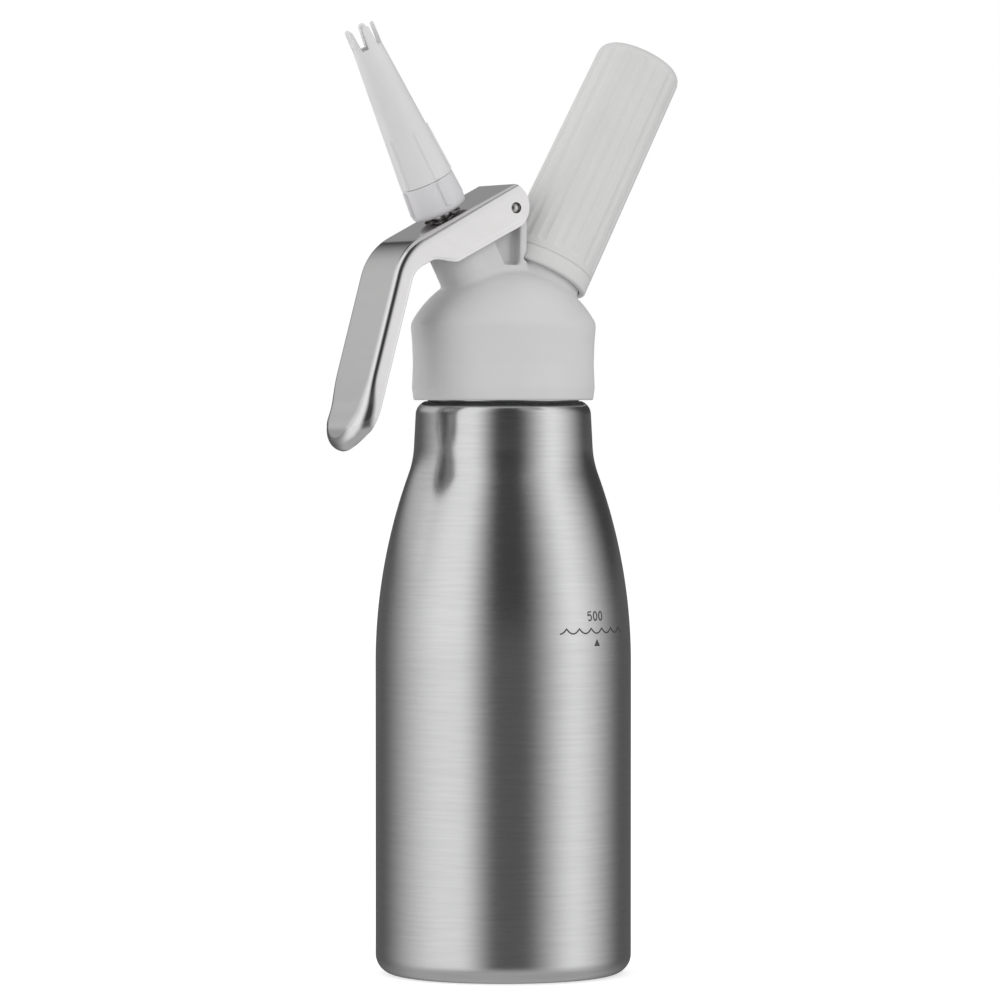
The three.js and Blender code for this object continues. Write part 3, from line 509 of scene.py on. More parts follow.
pocket_wall_half = 4.8
pocket_room = 0.4
moulded_face = 0.6

plain_edge = 0.5
small_edge = 0.3
thin_edge = 0.1
collar_dome_edge = 0.7
pocket_edge = 0.7
pin_boss_fillet = 0.6
post_fillet = 0.4
nozzle_boss_fillet = 1.6
charging_boss_fillet = 2
holder_room_edge = 0.4
holder_seat_fillet = 0.2
bore_step_fillet = 0.4
bore_edge = 0.6
chamber_corner = 1.0
inner_boss_fillet = 1.5
inner_dome_fillet = 1.2
drilled_edge = 0.35


def tilted_axis(height, tilt):
    return Matrix.Translation((0, 0, height)) @ Matrix.Rotation(math.radians(tilt), 4, "Y")


nozzle_axis = tilted_axis(nozzle_origin, -nozzle_tilt)
charging_axis = tilted_axis(charging_origin, charging_tilt)


def along(points, axis):
    """Places measured from a tilted axis: behind it, beside it and along it."""
    turn = np.array(axis.inverted())
    return (points @ turn[:3, :3].T + turn[:3, 3]).T


def joined(a, b, fillet):
    """Union of two distance fields with a fillet between them."""
    share = np.clip(0.5 + 0.5 * (b - a) / fillet, 0, 1)
    return b * (1 - share) + a * share - fillet * share * (1 - share)


def kept(a, b, edge):
    """What two fields share, with its edge rounded."""
    return -joined(-a, -b, edge)


def cut(a, b, edge):
    """The first field without the second, with its edge rounded."""
    return kept(a, -b, edge)


def rod_field(points, axis, radius, low, high):
    x, y, z = along(points, axis)
    return kept(np.hypot(x, y) - radius, np.maximum(low - z, z - high), plain_edge)


def prism_field(points, corners):
    """Distance to an upright polygon in the XZ plane, its corners in order."""
    far, least_rise = 1e9, 1e-9
    x, z = points[:, 0], points[:, 2]
    nearest = np.full(len(points), far)
    inside = np.zeros(len(points), bool)
    for (x0, z0), (x1, z1) in zip(corners, corners[1:] + corners[:1]):
        edge = np.array([x1 - x0, z1 - z0])
        share = np.clip(((x - x0) * edge[0] + (z - z0) * edge[1]) / (edge @ edge), 0, 1)
        nearest = np.minimum(nearest, np.hypot(x - x0 - share * edge[0], z - z0 - share * edge[1]))
        crosses = ((z0 > z) != (z1 > z)) & (x < x0 + (z - z0) * edge[0] / (edge[1] or least_rise))
        inside ^= crosses
    return np.where(inside, -nearest, nearest)


def from_nozzle(behind, out):
    place = nozzle_axis @ Vector((behind, 0, out))
    return place.x, place.z


pin_x, pin_z = from_nozzle(*pin_place)


def post_corners():
    """The post behind the nozzle boss, round over the lever pin."""
    round_end, round_steps = 150, 10
    top = arc((pin_x, pin_z), pin_boss_radius, 0, round_end, round_steps)
    return [
        from_nozzle(0, post_foot), (post_rear, dome_centre + dome_radius / 2),
        (post_rear, pin_z - pin_boss_radius), *top,
        from_nozzle(post_front, nozzle_boss_top), from_nozzle(0, nozzle_boss_top),
    ]


def pocket_corners():
    """The pocket that is left open on each side of the post's web."""
    tilt = math.radians(nozzle_tilt)
    top = pin_z - pin_boss_radius
    front = [((pocket_front - (z - nozzle_origin) * math.sin(tilt)) / math.cos(tilt), z)
             for z in (pocket_floor, top)]
    return [front[0], (pocket_rear, pocket_floor), (pocket_rear, top), front[1]]


def head_field(points):
    """Signed distance to the moulding, in millimetres, less than zero inside it."""
    x, y, z = points.T
    rho = np.hypot(x, y)
    heights, radii = np.array(collar_profile).T
    collar = rho - np.interp(z, heights + collar_foot, radii)
    dome = np.linalg.norm(points - [0, 0, dome_centre], axis=1) - dome_radius
    shell = kept(kept(collar, dome, collar_dome_edge), collar_foot - z, plain_edge)

    boss = rod_field(points, nozzle_axis, nozzle_boss_radius, nozzle_boss_foot, nozzle_boss_top)
    post = kept(prism_field(points, post_corners()), np.abs(y) - nozzle_boss_radius, plain_edge)
    pocket = np.maximum(prism_field(points, pocket_corners()) - pocket_room, pocket_wall_half - np.abs(y))
    from_pin = np.hypot(x - pin_x, z - pin_z)
    between_flanges = np.abs(y) - (lever_width / 2 - lever_sheet - lever_gap)
    pin_boss = kept(from_pin - pin_boss_radius, between_flanges, small_edge)
    post = joined(cut(post, pocket, pocket_edge), pin_boss, pin_boss_fillet)
    form = joined(shell, joined(boss, post, post_fillet), nozzle_boss_fillet)

    charging_boss = rod_field(points, charging_axis, charging_boss_radius,
                              charging_boss_foot, charging_boss_top)
    holder_room = rod_field(points, charging_axis, holder_room_radius, holder_room_foot, holder_room_top)
    form = joined(form, charging_boss, charging_boss_fillet)
    form = joined(cut(form, holder_room, holder_room_edge), charging_boss, holder_seat_fillet)

    bore = kept(rho - (neck_radius + bore_gap), z - (mouth_height + bore_over_mouth), bore_step_fillet)
    relief = kept(rho - collar_relief_radius, z - collar_foot - collar_relief_height, bore_step_fillet)
    chamber = kept(kept(rho - chamber_radius, dome + dome_wall, chamber_corner), mouth_height - z, thin_edge)
    form = cut(cut(cut(form, bore, bore_edge), relief, small_edge), chamber, bore_edge)
    inner_nozzle = rod_field(points, nozzle_axis, nozzle_boss_radius, nozzle_boss_foot, inner_boss_top)
    inner_charging = rod_field(points, charging_axis, charging_boss_radius,
                               inner_charging_foot, inner_charging_top)
    inner = joined(inner_nozzle, inner_charging, inner_boss_fillet)
    form = joined(form, kept(inner, dome, thin_edge), inner_dome_fillet)
    for axis, bores in ((nozzle_axis, nozzle_bores), (charging_axis, charging_bores)):
        for radius, low, high in bores:
            form = cut(form, rod_field(points, axis, radius, low, high), drilled_edge)
    return cut(form, from_pin - pin_hole_radius, small_edge)


def drawn_to(field, points, rounds):
    """Moves points straight onto the surface of a distance field."""
    step, least_slope, most_move = 0.02, 0.25, 1.2
    for _ in range(rounds):
        value = field(points)
        rises = [field(points + shift) - field(points - shift) for shift in np.eye(3) * step]
        slope = np.stack(rises, axis=1) / (2 * step)
        steepness = np.maximum(np.linalg.norm(slope, axis=1), least_slope)
        points = points - np.clip(value / steepness ** 2, -most_move, most_move)[:, None] * slope
    return points


def reworked(mesh, change):
    """Opens a mesh, changes it and closes it again."""
    work = bmesh.new()
    work.from_mesh(mesh)
    change(work)
    work.to_mesh(mesh)
    work.free()


def draw_to_field(mesh, field, rounds):
    places = np.empty(len(mesh.vertices) * 3)
    mesh.vertices.foreach_get("co", places)
    points = drawn_to(field, places.reshape(-1, 3) / mm, rounds)
    mesh.vertices.foreach_set("co", (points * mm).ravel())
    mesh.update()


def evaluated(piece):
    """The mesh of a piece with its modifiers."""
    return bpy.data.meshes.new_from_object(piece.evaluated_get(bpy.context.evaluated_depsgraph_get()))


def weld(work):
    same_place = 1e-7
    bmesh.ops.remove_doubles(work, verts=work.verts, dist=same_place)


def even_out(work):
    rounds, even_share = 2, 0.4
    for _ in range(rounds):
        bmesh.ops.smooth_vert(work, verts=work.verts, factor=even_share,
                              use_axis_x=True, use_axis_y=True, use_axis_z=True)


def moulded(name, node_name, field, grain, body):
    """Takes the solid's own mesh, cuts it into even small faces and draws it onto the field."""
    first_rounds, last_rounds = 6, 3
    start = bpy.data.objects.new(name + "_start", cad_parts[node_name].data.copy())
    bpy.context.scene.collection.objects.link(start)
    reworked(start.data, weld)
    remesh = start.modifiers.new("even_faces", "REMESH")
    remesh.mode = "VOXEL"
    remesh.voxel_size = grain * mm
    mesh = evaluated(start)
    bpy.data.objects.remove(start)
    mesh.name = name
    draw_to_field(mesh, field, first_rounds)
    reworked(mesh, even_out)
    draw_to_field(mesh, field, last_rounds)
    mesh.shade_smooth()
    return shown(name, mesh, body)


head = moulded("head_moulding", "head_body", head_field, moulded_face, "head")


def moulded_grain_group():
    """The fine even grain of an eroded mould, with a little unevenness in its gloss and tone."""
    group, given, result = node_group(
        "moulded_grain", "ShaderNodeTree", {"Height": "Float", "Cloud": "Float"},
        {"Place": "Vector", "Grains per Metre": "Float"})
    fine = node(group, "ShaderNodeTexNoise", {"Detail": 2.0, "Roughness": 0.6})
    cloud = node(group, "ShaderNodeTexNoise", {"Scale": 60.0, "Detail": 3.0, "Roughness": 0.55})
    link(
        group,
        (given["Place"], fine.inputs["Vector"]),
        (given["Grains per Metre"], fine.inputs["Scale"]),
        (given["Place"], cloud.inputs["Vector"]),
        (fine.outputs["Fac"], result["Height"]),
        (cloud.outputs["Fac"], result["Cloud"]),
    )
    return group


moulded_grain = moulded_grain_group()


def plastic(name, colour, roughness, relief, let_through=0.0):
    """Matt moulded plastic whose tone and gloss drift a little; a thin wall lets some light through."""
    grains, grain_depth = 4200, 0.03 * mm
    material, tree, surface, shade = marked_material(
        name, colour, moulded_grain, {"Grains per Metre": grains},
        ("Cloud", 0.35, 0.65, 0.985, 1.015),
        ("Cloud", 0.3, 0.7, roughness - 0.04, roughness + 0.05),
        {"Strength": relief, "Distance": grain_depth})
    surface.inputs["IOR"].default_value = 1.46
    if let_through:
        milky = node(tree, "ShaderNodeBsdfTranslucent")
        mixed = node(tree, "ShaderNodeMixShader", {"Fac": let_through})
        link(
            tree,
            (shade, milky.inputs["Color"]),
            (surface.outputs[0], mixed.inputs[1]),
            (milky.outputs[0], mixed.inputs[2]),
            (mixed.outputs[0], tree.nodes["Material Output"].inputs["Surface"]),
        )
    return material


white_plastic = plastic("white_plastic", colour=(0.64, 0.64, 0.64), roughness=0.5, relief=0.25)
fitted(head, "head_body", white_plastic)


# LEVER
# One pressed channel of polished stainless sheet: a flat web over the valve with a pad under it that
# presses the nut, two side flanges on the pin, and a long handle whose end is drawn round like a spoon.

web_out = 47.8
flange_web = 12.6
flange_bend = 8.2
flange_handle = 6.1
flange_tip = 4.0
web_corner = 1.0
handle_corner = 2.2
tip_corner = 5.2
tip_corner_before = 12
tip_corner_after = 4
least_corner = 0.15
lever_rim = 0.35
rear_radius = 7.7
rear_centre = (15.9, 42.9)
web_front = 14.75
flange_step = 7
step_room = 1
bend_radius = 19
bend_turn = 47.6
handle_length = 40.2
flare_radius = 24
flare_turn = 13.4
return_radius = 15
return_turn = 17.5
tip_straight = 5.7
tip_taper = 8
pad_radius = 9.5
pad_depth = 1.2
pad_slope = 1.5
stem_hole_radius = 6
lever_crease = 30
stretches = (
    (pin_place[0] + rear_radius + web_front - flange_step, math.inf, 96),
    (flange_step, math.inf, 18),
    (bend_radius * math.radians(bend_turn), bend_radius, 40),
    (handle_length, math.inf, 30),
    (flare_radius * math.radians(flare_turn), -flare_radius, 10),
    (return_radius * math.radians(return_turn), return_radius, 14),
)


def smooth(value, low, high):
    share = min(max((value - low) / (high - low), 0), 1)
    return share * share * (3 - 2 * share)


def lever_stations():
    """Place, heading and travel along the outer face, from the rear of the web to the tip."""
    tip_steps = 24
    x, z, heading, travel = pin_place[0] + rear_radius, web_out, 0.0, 0.0
    stations = [(x, z, heading, travel)]
    for length, radius, steps in stretches:
        for _ in range(steps):
            turn = length / steps / radius
            x -= length / steps * math.cos(heading + turn / 2)
            z -= length / steps * math.sin(heading + turn / 2)
            heading += turn
            travel += length / steps
            stations.append((x, z, heading, travel))
    for step in range(1, tip_steps + 1):
        ahead = tip_straight * math.sin(math.pi / 2 * step / tip_steps)
        place = (x - ahead * math.cos(heading), z - ahead * math.sin(heading))
        stations.append((*place, heading, travel + ahead))
    return stations


def lever_place(stations, travel, y, depth):
    """A place on the lever from its travel along the face, its distance across and its depth under it."""
    high = min(bisect.bisect_right(stations, travel, key=lambda station: station[3]), len(stations) - 1)
    x, z, heading, start = stations[high - 1]
    turn = (stations[high][2] - heading) / (stations[high][3] - start)
    ahead = travel - start
    middle = heading + turn * ahead / 2
    x -= ahead * math.cos(middle)
    z -= ahead * math.sin(middle)
    heading += turn * ahead
    return Vector((x + depth * math.sin(heading), y, z - depth * math.cos(heading)))


def lever_half(travel, depth, corner):
    """One side of the section, from the middle of the web over the rim and back: (distance, depth)."""
    web_steps, corner_steps, side_steps, rim_steps = 26, 10, 6, 8
    behind_stem = pin_place[0] + rear_radius - travel
    outer_reach, inner_reach = lever_width / 2, lever_width / 2 - lever_sheet

    def skin(edge, top, bend):
        line = []
        for i in range(web_steps + 1):
            out = (edge - bend) * i / web_steps
            pad = pad_depth * smooth(pad_radius - math.hypot(behind_stem, out), 0, pad_slope) if top else 0
            line.append((out, top + pad))
        line += [(edge - bend + bend * math.sin(a), top + bend - bend * math.cos(a))
                 for a in np.linspace(0, math.pi / 2, corner_steps + 1)[1:]]
        side = top + bend
        side_depth = depth - lever_rim - side
        line += [(edge, side + side_depth * i / side_steps) for i in range(1, side_steps + 1)]
        return line

    rim = lever_sheet / 2
    round_rim = [(outer_reach - rim + rim * math.cos(a), depth - lever_rim + lever_rim * math.sin(a))
                 for a in np.linspace(0, math.pi, rim_steps + 1)[1:-1]]
    inner_skin = skin(inner_reach, lever_sheet, max(corner - lever_sheet, least_corner))
    return skin(outer_reach, 0, corner) + round_rim + inner_skin[::-1]


def lever_work():
    """The channel from its rear to the middle of its round end, and the round end fanned out in rays."""
    same_travel, corner_room, bend_room, ray_count = 0.01, 0.1, 2, 49
    stations = lever_stations()
    end = stations[-1][3]
    bend_start = pin_place[0] + rear_radius + web_front
    bend_end = bend_start + bend_radius * math.radians(bend_turn)
    round_middle = end - lever_width / 2

    def section(travel):
        step_done = smooth(travel, bend_start - flange_step - step_room, bend_start + step_room)
        depth = flange_web + (flange_bend - flange_web) * step_done
        depth += (flange_handle - depth) * smooth(travel, bend_start, bend_end)
        depth += (flange_tip - depth) * smooth(travel, end - tip_taper, end)
        corner = web_corner + (handle_corner - web_corner) * smooth(travel, 0, bend_end - bend_room)
        tip_done = smooth(travel, round_middle - tip_corner_before, round_middle + tip_corner_after)
        corner += (tip_corner - corner) * tip_done
        return lever_half(travel, depth, min(corner, depth - lever_rim - corner_room))

    work = bmesh.new()
    travels = [travel for _, _, _, travel in stations if travel < round_middle - same_travel]
    loops = []
    for travel in travels + [round_middle]:
        half = section(travel)
        ring = half + [(-y, depth) for y, depth in half[::-1]]
        loops.append([work.verts.new(lever_place(stations, travel, y, depth)) for y, depth in ring])
    skinned(work, loops)
    work.faces.new(loops[0][::-1])
    rays = []
    for turn in np.radians(np.linspace(90, -90, ray_count)):
        ahead, across = math.cos(turn), math.sin(turn)
        half = section(round_middle + lever_width / 2 * ahead)
        places = [(min(round_middle + y * ahead, end), y * across, depth) for y, depth in half]
        rays.append([work.verts.new(lever_place(stations, *place)) for place in places])
    skinned(work, rays, closed=False)
    return work


def rod_work(radius, length, lay, sides=64):
    """A plain rod round the Z axis, then laid by a matrix."""
    work = bmesh.new()
    bmesh.ops.create_cone(work, cap_ends=True, segments=sides, radius1=radius, radius2=radius,
                          depth=length, matrix=lay)
    return work


def slab_work(outline, near_y, far_y):
    """A closed outline of (x, z) given its thickness along Y."""
    work = bmesh.new()
    near, far = ([work.verts.new((x, y, z)) for x, z in outline] for y in (near_y, far_y))
    work.faces.new(near)
    work.faces.new(far[::-1])
    skinned(work, [far, near])
    return work


def cutter(name, work, place):
    """A closed tool body in millimetres, placed but not shown, that cuts a piece."""
    bmesh.ops.recalc_face_normals(work, faces=work.faces)
    bmesh.ops.transform(work, matrix=to_metres @ place, verts=work.verts)
    tool = bpy.data.objects.new(name, to_mesh(name, work))
    bpy.context.scene.collection.objects.link(tool)
    return tool


def cut_away(piece, tools, crease=30):
    """Takes the tool bodies out of a piece and clears the tools away."""
    for tool in tools:
        change = piece.modifiers.new("cut", "BOOLEAN")
        change.operation = "DIFFERENCE"
        change.solver = "EXACT"
        change.object = tool
        mesh = evaluated(piece)
        piece.modifiers.clear()
        piece.data = mesh
        bpy.data.objects.remove(tool)
    smoothed(piece.data, crease)


def rear_cutter_work():
    """What is left over behind the round rear end of the flanges."""
    round_steps, far_rear, low, high, half_width = 48, 45, 20, 70, 20
    curve = arc(rear_centre, rear_radius, -90, 90, round_steps)
    corners = [(rear_centre[0], high), (far_rear, high), (far_rear, low), (rear_centre[0], low)]
    return slab_work(curve + corners, -half_width, half_width)


cut_length = 40
stem_cut_length = 8
stem_cut_middle = Matrix.Translation((0, 0, web_out - 1))
across_pin = Matrix.Translation((pin_place[0], 0, pin_place[1])) @ Matrix.Rotation(math.pi / 2, 4, "X")
lever = finished("lever_channel", lever_work(), nozzle_axis, "lever", lever_crease)
cut_away(lever, [
    cutter("rear_cutter", rear_cutter_work(), nozzle_axis),
    cutter("pin_cutter", rod_work(pin_hole_radius, cut_length, across_pin), nozzle_axis),
    cutter("stem_cutter", rod_work(stem_hole_radius, stem_cut_length, stem_cut_middle), nozzle_axis),
])
polished_steel = steel("polished_steel", colour=(0.7, 0.69, 0.69), roughness=0.075, lines=1800, streaks=500,
                       relief=0.03, tone_change=0.02, axis_turn=nozzle_tilt, axis_origin=nozzle_origin)
fitted(lever, "lever", polished_steel)


# LEVER PIN
# A turned stainless pin through both flanges and the post, its ends domed and a little sunk.

pin_radius = 1.45
pin_half = lever_width / 2 - 0.3
pin_sides = 48
pin_head = 1.3
pin_head_foot = pin_half - 1.3
pin_shank_end = pin_half - 1.35
pin_dome_radius = 2.1
pin_dome_turn = math.degrees(math.acos(pin_head / pin_dome_radius))
pin_dome_steps = 12
pin_dome = [*arc((0, pin_half - pin_dome_radius), pin_dome_radius, 90, pin_dome_turn, pin_dome_steps),
            (pin_head, pin_head_foot), (pin_radius, pin_shank_end)]
pin_outline = [(r, -z) for r, z in pin_dome] + pin_dome[::-1]
pin = turned("lever_pin_turned", pin_outline, nozzle_axis @ across_pin, "head", pin_sides)
turned_steel = steel("turned_steel", colour=(0.6, 0.59, 0.58), roughness=0.22, lines=6000, streaks=300,
                     relief=0.2, tone_change=0.06, axis_turn=nozzle_tilt, axis_origin=nozzle_origin)
fitted(pin, "lever_pin", turned_steel)


# ADAPTER
# A pale grey moulded ring screwed on the stem, with four ribs for the fingers and a spigot on its top
# that the crown tip sits on.

adapter_foot = web_out + 1.4
adapter_top = web_out + 12.2
adapter_radius = 9.05
adapter_top_radius = 8.3
adapter_foot_round = 2.3
adapter_sides = 96
spigot_radius = 6.8
spigot_bore = 3
spigot_top = adapter_top + 8
adapter_bore = 3.8
thread_top = 57.4
adapter_outline = eased([
    (adapter_bore, adapter_foot, 0.2), (adapter_radius, adapter_foot, adapter_foot_round),
    (adapter_top_radius, adapter_top, 0.25), (spigot_radius, adapter_top, 0.1),
    (spigot_radius, spigot_top, 0.4), (spigot_bore, spigot_top, 0.4),
    (spigot_bore, thread_top, 0.1), (adapter_bore, thread_top, 0.1),
], steps=6)
adapter = turned("adapter_ring", adapter_outline, nozzle_axis, "adapter",
                 adapter_sides)
pale_grey_plastic = plastic("pale_grey_plastic", colour=(0.66, 0.65, 0.665), roughness=0.5, relief=0.25)
fitted(adapter, "nozzle_adapter", pale_grey_plastic)


def piece_tree(name, takes):
    """An empty tree for a piece that is grown, with its own sockets and one for its material."""
    return node_group(name, "GeometryNodeTree", {"Geometry": "Geometry"}, takes | {"Finish": "Material"})


def give_finish(tree, geometry, given, result):
    """Ends the tree of a piece: copies are made real and it gets its material."""
    real = node(tree, "GeometryNodeRealizeInstances")
    dressed = node(tree, "GeometryNodeSetMaterial")
    link(
        tree,
        (geometry, real.inputs["Geometry"]), (real.outputs["Geometry"], dressed.inputs["Geometry"]),
        (given["Finish"], dressed.inputs["Material"]), (dressed.outputs["Geometry"], result["Geometry"]),
    )


def rib_tree():
    """Ribs round a cone: small rounded bars stood up, repeated by turning, then laid on the wall."""
    bar_sides = 10
    tree, given, result = piece_tree("ribs_round_a_cone", {
        "Count": "Int", "Foot Radius": "Float", "Top Radius": "Float", "Foot": "Float", "Top": "Float",
        "Half Width": "Float", "First Turn": "Float",
    })
    start = node(tree, "ShaderNodeCombineXYZ")
    end = node(tree, "ShaderNodeCombineXYZ")
    line = node(tree, "GeometryNodeCurvePrimitiveLine")
    bar = node(tree, "GeometryNodeCurveToMesh", {"Fill Caps": True})
    section = node(tree, "GeometryNodeCurvePrimitiveCircle", {"Resolution": bar_sides})
    turns = node(tree, "GeometryNodeMeshLine", {"Offset": (0, 0, 0)}, mode="OFFSET")
    copies = node(tree, "GeometryNodeInstanceOnPoints")
    index = node(tree, "GeometryNodeInputIndex")
    turned_share = maths(tree, "DIVIDE", index.outputs["Index"], given["Count"])
    turn = maths(tree, "MULTIPLY_ADD", turned_share, 2 * math.pi, given["First Turn"])
    spin = node(tree, "ShaderNodeCombineXYZ")
    link(
        tree,
        (given["Foot Radius"], start.inputs["X"]), (given["Foot"], start.inputs["Z"]),
        (given["Top Radius"], end.inputs["X"]), (given["Top"], end.inputs["Z"]),
        (start.outputs[0], line.inputs["Start"]), (end.outputs[0], line.inputs["End"]),
        (given["Half Width"], section.inputs["Radius"]),
        (section.outputs["Curve"], bar.inputs["Profile Curve"]),
        (line.outputs["Curve"], bar.inputs["Curve"]), (bar.outputs["Mesh"], copies.inputs["Instance"]),
        (given["Count"], turns.inputs["Count"]), (turns.outputs["Mesh"], copies.inputs["Points"]),
        (turn, spin.inputs["Z"]), (spin.outputs[0], copies.inputs["Rotation"]),
    )
    give_finish(tree, copies.outputs["Instances"], given, result)
    return tree


def grown(name, tree, values, place, body, blank=None):
    """Grows a piece from a node tree with named inputs and leaves a plain mesh, sizes in millimetres."""
    crease = 50
    seed = bpy.data.objects.new(name + "_seed", blank or bpy.data.meshes.new(name + "_seed"))
    bpy.context.scene.collection.objects.link(seed)
    growth = seed.modifiers.new("growth", "NODES")
    growth.node_group = tree
    for item in tree.interface.items_tree:
        if item.in_out == "INPUT" and item.name in values:
            growth[item.identifier] = values[item.name]
    mesh = evaluated(seed)
    bpy.data.objects.remove(seed)
    mesh.name = name
    mesh.transform(to_metres @ place)
    smoothed(mesh, crease)
    return shown(name, mesh, body)


ribs = rib_tree()
rib_half_width = 0.8
rib_turn = math.radians(-95)
grown("adapter_ribs", ribs, {
    "Count": 4, "Foot Radius": 8.9, "Top Radius": 8.3, "Foot": adapter_foot + 2.6, "Top": adapter_top - 0.3,
    "Half Width": rib_half_width, "First Turn": rib_turn, "Finish": pale_grey_plastic,
}, nozzle_axis, "adapter")


# CROWN TIP
# A slim white moulded cone with a thin wall and five teeth that are round at their ends. Low ribs
# run up from its foot for the fingers.

tip_foot = adapter_top + 0.12
tip_top = adapter_top + 52.7
tip_radius = 8.4
tip_sides = 120
tip_socket = tip_foot + 8.6
tip_socket_radius = 7.1
tip_wall = 1.25
tooth_count = 5
tooth_root = tip_top - 7.2
tooth_root_radius = 4.75
tooth_top_radius = 4.9
tooth_inner_radius = 3.75
tooth_root_inner_radius = 3.5
tip_slope = (tip_radius - tooth_root_radius) / (tooth_root - tip_foot)
first_gap = -75
tip_outline = eased([
    (tip_socket_radius, tip_foot, 0.15), (tip_radius, tip_foot, 0.2),
    (tooth_root_radius, tooth_root, 6), (tooth_top_radius, tip_top, 0.55),
    (tooth_inner_radius, tip_top, 0.55), (tooth_root_inner_radius, tooth_root, 6),
    (tip_radius - tip_slope * (tip_socket + 1 - tip_foot) - tip_wall, tip_socket + 1, 0.5),
    (tip_socket_radius, tip_socket, 0.5),
], steps=6)
tip = turned("crown_tip", tip_outline, nozzle_axis, "tip", tip_sides)


def tooth_gap_work(turn):
    """A gap between two teeth: square at its root, wider towards their round ends."""
    half_root, half_top, root_round, end_round = 1.2, 1.8, 0.25, 1.2
    near, far, past, side_room = 1.5, 7, 2, 0.3
    root_steps, end_turn, end_steps = 5, 95, 10
    root = arc((half_root - root_round, tooth_root + root_round), root_round, -90, 0, root_steps)
    edge = arc((half_top + end_round, tip_top - end_round), end_round, 180, end_turn, end_steps)
    right = root + edge + [(half_top + end_round + side_room, tip_top + past)]
    work = slab_work(right + [(-x, z) for x, z in reversed(right)], near, far)
    bmesh.ops.transform(work, matrix=Matrix.Rotation(math.radians(turn), 4, "Z"), verts=work.verts)
    return work


cut_away(tip, [cutter("tooth_gap", tooth_gap_work(first_gap + 360 / tooth_count * count), nozzle_axis)
               for count in range(tooth_count)])
tip_plastic = plastic("tip_plastic", colour=(0.8, 0.8, 0.8), roughness=0.42, relief=0.12, let_through=0.12)
fitted(tip, "decorator_tip", tip_plastic)
grown("tip_ribs", ribs, {
    "Count": 5, "Foot Radius": 8.0, "Top Radius": 6.73, "Foot": tip_foot + 0.5, "Top": tip_foot + 16.3,
    "Half Width": rib_half_width, "First Turn": rib_turn, "Finish": tip_plastic,
}, nozzle_axis, "tip")


# VALVE TRAIN
# A turned stem with a sealed disc in the bottle, cross ports, an O-ring on its land and a thread that
# carries a thrust nut and the adapter. The lever presses on the crown of the nut.

stem_foot = 3.2
disc_radius = 7
stem_core = 3.2
land_radius = 4.7
stem_radius = 4.2
stem_thread_core = 3.0
stem_bore = 1.6
stem_shoulder = 41.8
stem_top = 56.8
stem_sides = 64
stem_outline = eased([
    (0, stem_foot, 0), (disc_radius, stem_foot, 0.3), (disc_radius, 5.2, 0.3), (4.4, 5.2, 0.1),
    (4.4, 7.4, 0.1), (stem_core, 8.4, 0.6), (stem_core, 15.2, 0.6), (land_radius, 16, 0.3),
    (land_radius, 18.6, 0.15),
    (stem_core, 18.6, 0.1), (stem_core, 21.2, 0.1), (land_radius, 21.2, 0.15), (land_radius, 24.5, 0.3),
    (stem_radius, 25, 0.3), (stem_radius, stem_shoulder, 0.3), (stem_thread_core, stem_shoulder, 0.1),
    (stem_thread_core, 56.4, 0.3), (stem_bore, stem_top, 0.2), (stem_bore, 12, 0.1), (0, 11.2, 0),
])
stem = turned("valve_stem_turned", stem_outline, nozzle_axis, "valve", stem_sides)
port_count = 4
port_radius = 1.1
port_height = 12.4
port_length = 6


def port_work(turn):
    """A radial drill from the stem's axis outwards, at a turn round the axis."""
    drill_sides = 32
    lay = (Matrix.Translation((0, 0, port_height)) @ Matrix.Rotation(turn, 4, "Z")
           @ Matrix.Translation((port_length / 2, 0, 0)) @ Matrix.Rotation(math.pi / 2, 4, "Y"))
    return rod_work(port_radius, port_length, lay, drill_sides)


first_port = math.radians(45)
port_pitch = 2 * math.pi / port_count
ports = [port_work(first_port + port_pitch * count) for count in range(port_count)]
cut_away(stem, [cutter("port", port, nozzle_axis) for port in ports], crease=35)
fitted(stem, "valve_stem", turned_steel)


def thread_tree():
    """A round-crested thread: a helix of points swept by a small section and given a finish."""
    tree, given, result = piece_tree("thread_ridge", {
        "Radius": "Float", "Foot": "Float", "Height": "Float", "Turns": "Float", "Steps per Turn": "Int",
        "Half Width": "Float", "Section Sides": "Int",
    })
    helix = node(tree, "GeometryNodeCurveSpiral")
    raised = node(tree, "GeometryNodeTransform")
    lift = node(tree, "ShaderNodeCombineXYZ")
    section = node(tree, "GeometryNodeCurvePrimitiveCircle")
    swept = node(tree, "GeometryNodeCurveToMesh", {"Fill Caps": True})
    link(
        tree,
        (given["Steps per Turn"], helix.inputs["Resolution"]), (given["Turns"], helix.inputs["Rotations"]),
        (given["Radius"], helix.inputs["Start Radius"]), (given["Radius"], helix.inputs["End Radius"]),
        (given["Height"], helix.inputs["Height"]), (given["Foot"], lift.inputs["Z"]),
        (helix.outputs["Curve"], raised.inputs["Geometry"]),
        (lift.outputs[0], raised.inputs["Translation"]),
        (given["Half Width"], section.inputs["Radius"]),
        (given["Section Sides"], section.inputs["Resolution"]),
        (raised.outputs["Geometry"], swept.inputs["Curve"]),
        (section.outputs["Curve"], swept.inputs["Profile Curve"]),
    )
    give_finish(tree, swept.outputs["Mesh"], given, result)
    return tree


thread = thread_tree()


def threaded(name, place, body, finish, radius, foot, height, turns, half_width, steps=64, sides=10):
    """A ridge wound round an axis."""
    return grown(name, thread, {
        "Radius": radius, "Foot": foot, "Height": height, "Turns": turns, "Steps per Turn": steps,
        "Half Width": half_width, "Section Sides": sides, "Finish": finish,
    }, place, body)


threaded("stem_thread", nozzle_axis, "valve", turned_steel,
         radius=stem_thread_core, foot=48.6, height=7.2, turns=9, half_width=0.4, steps=32, sides=8)

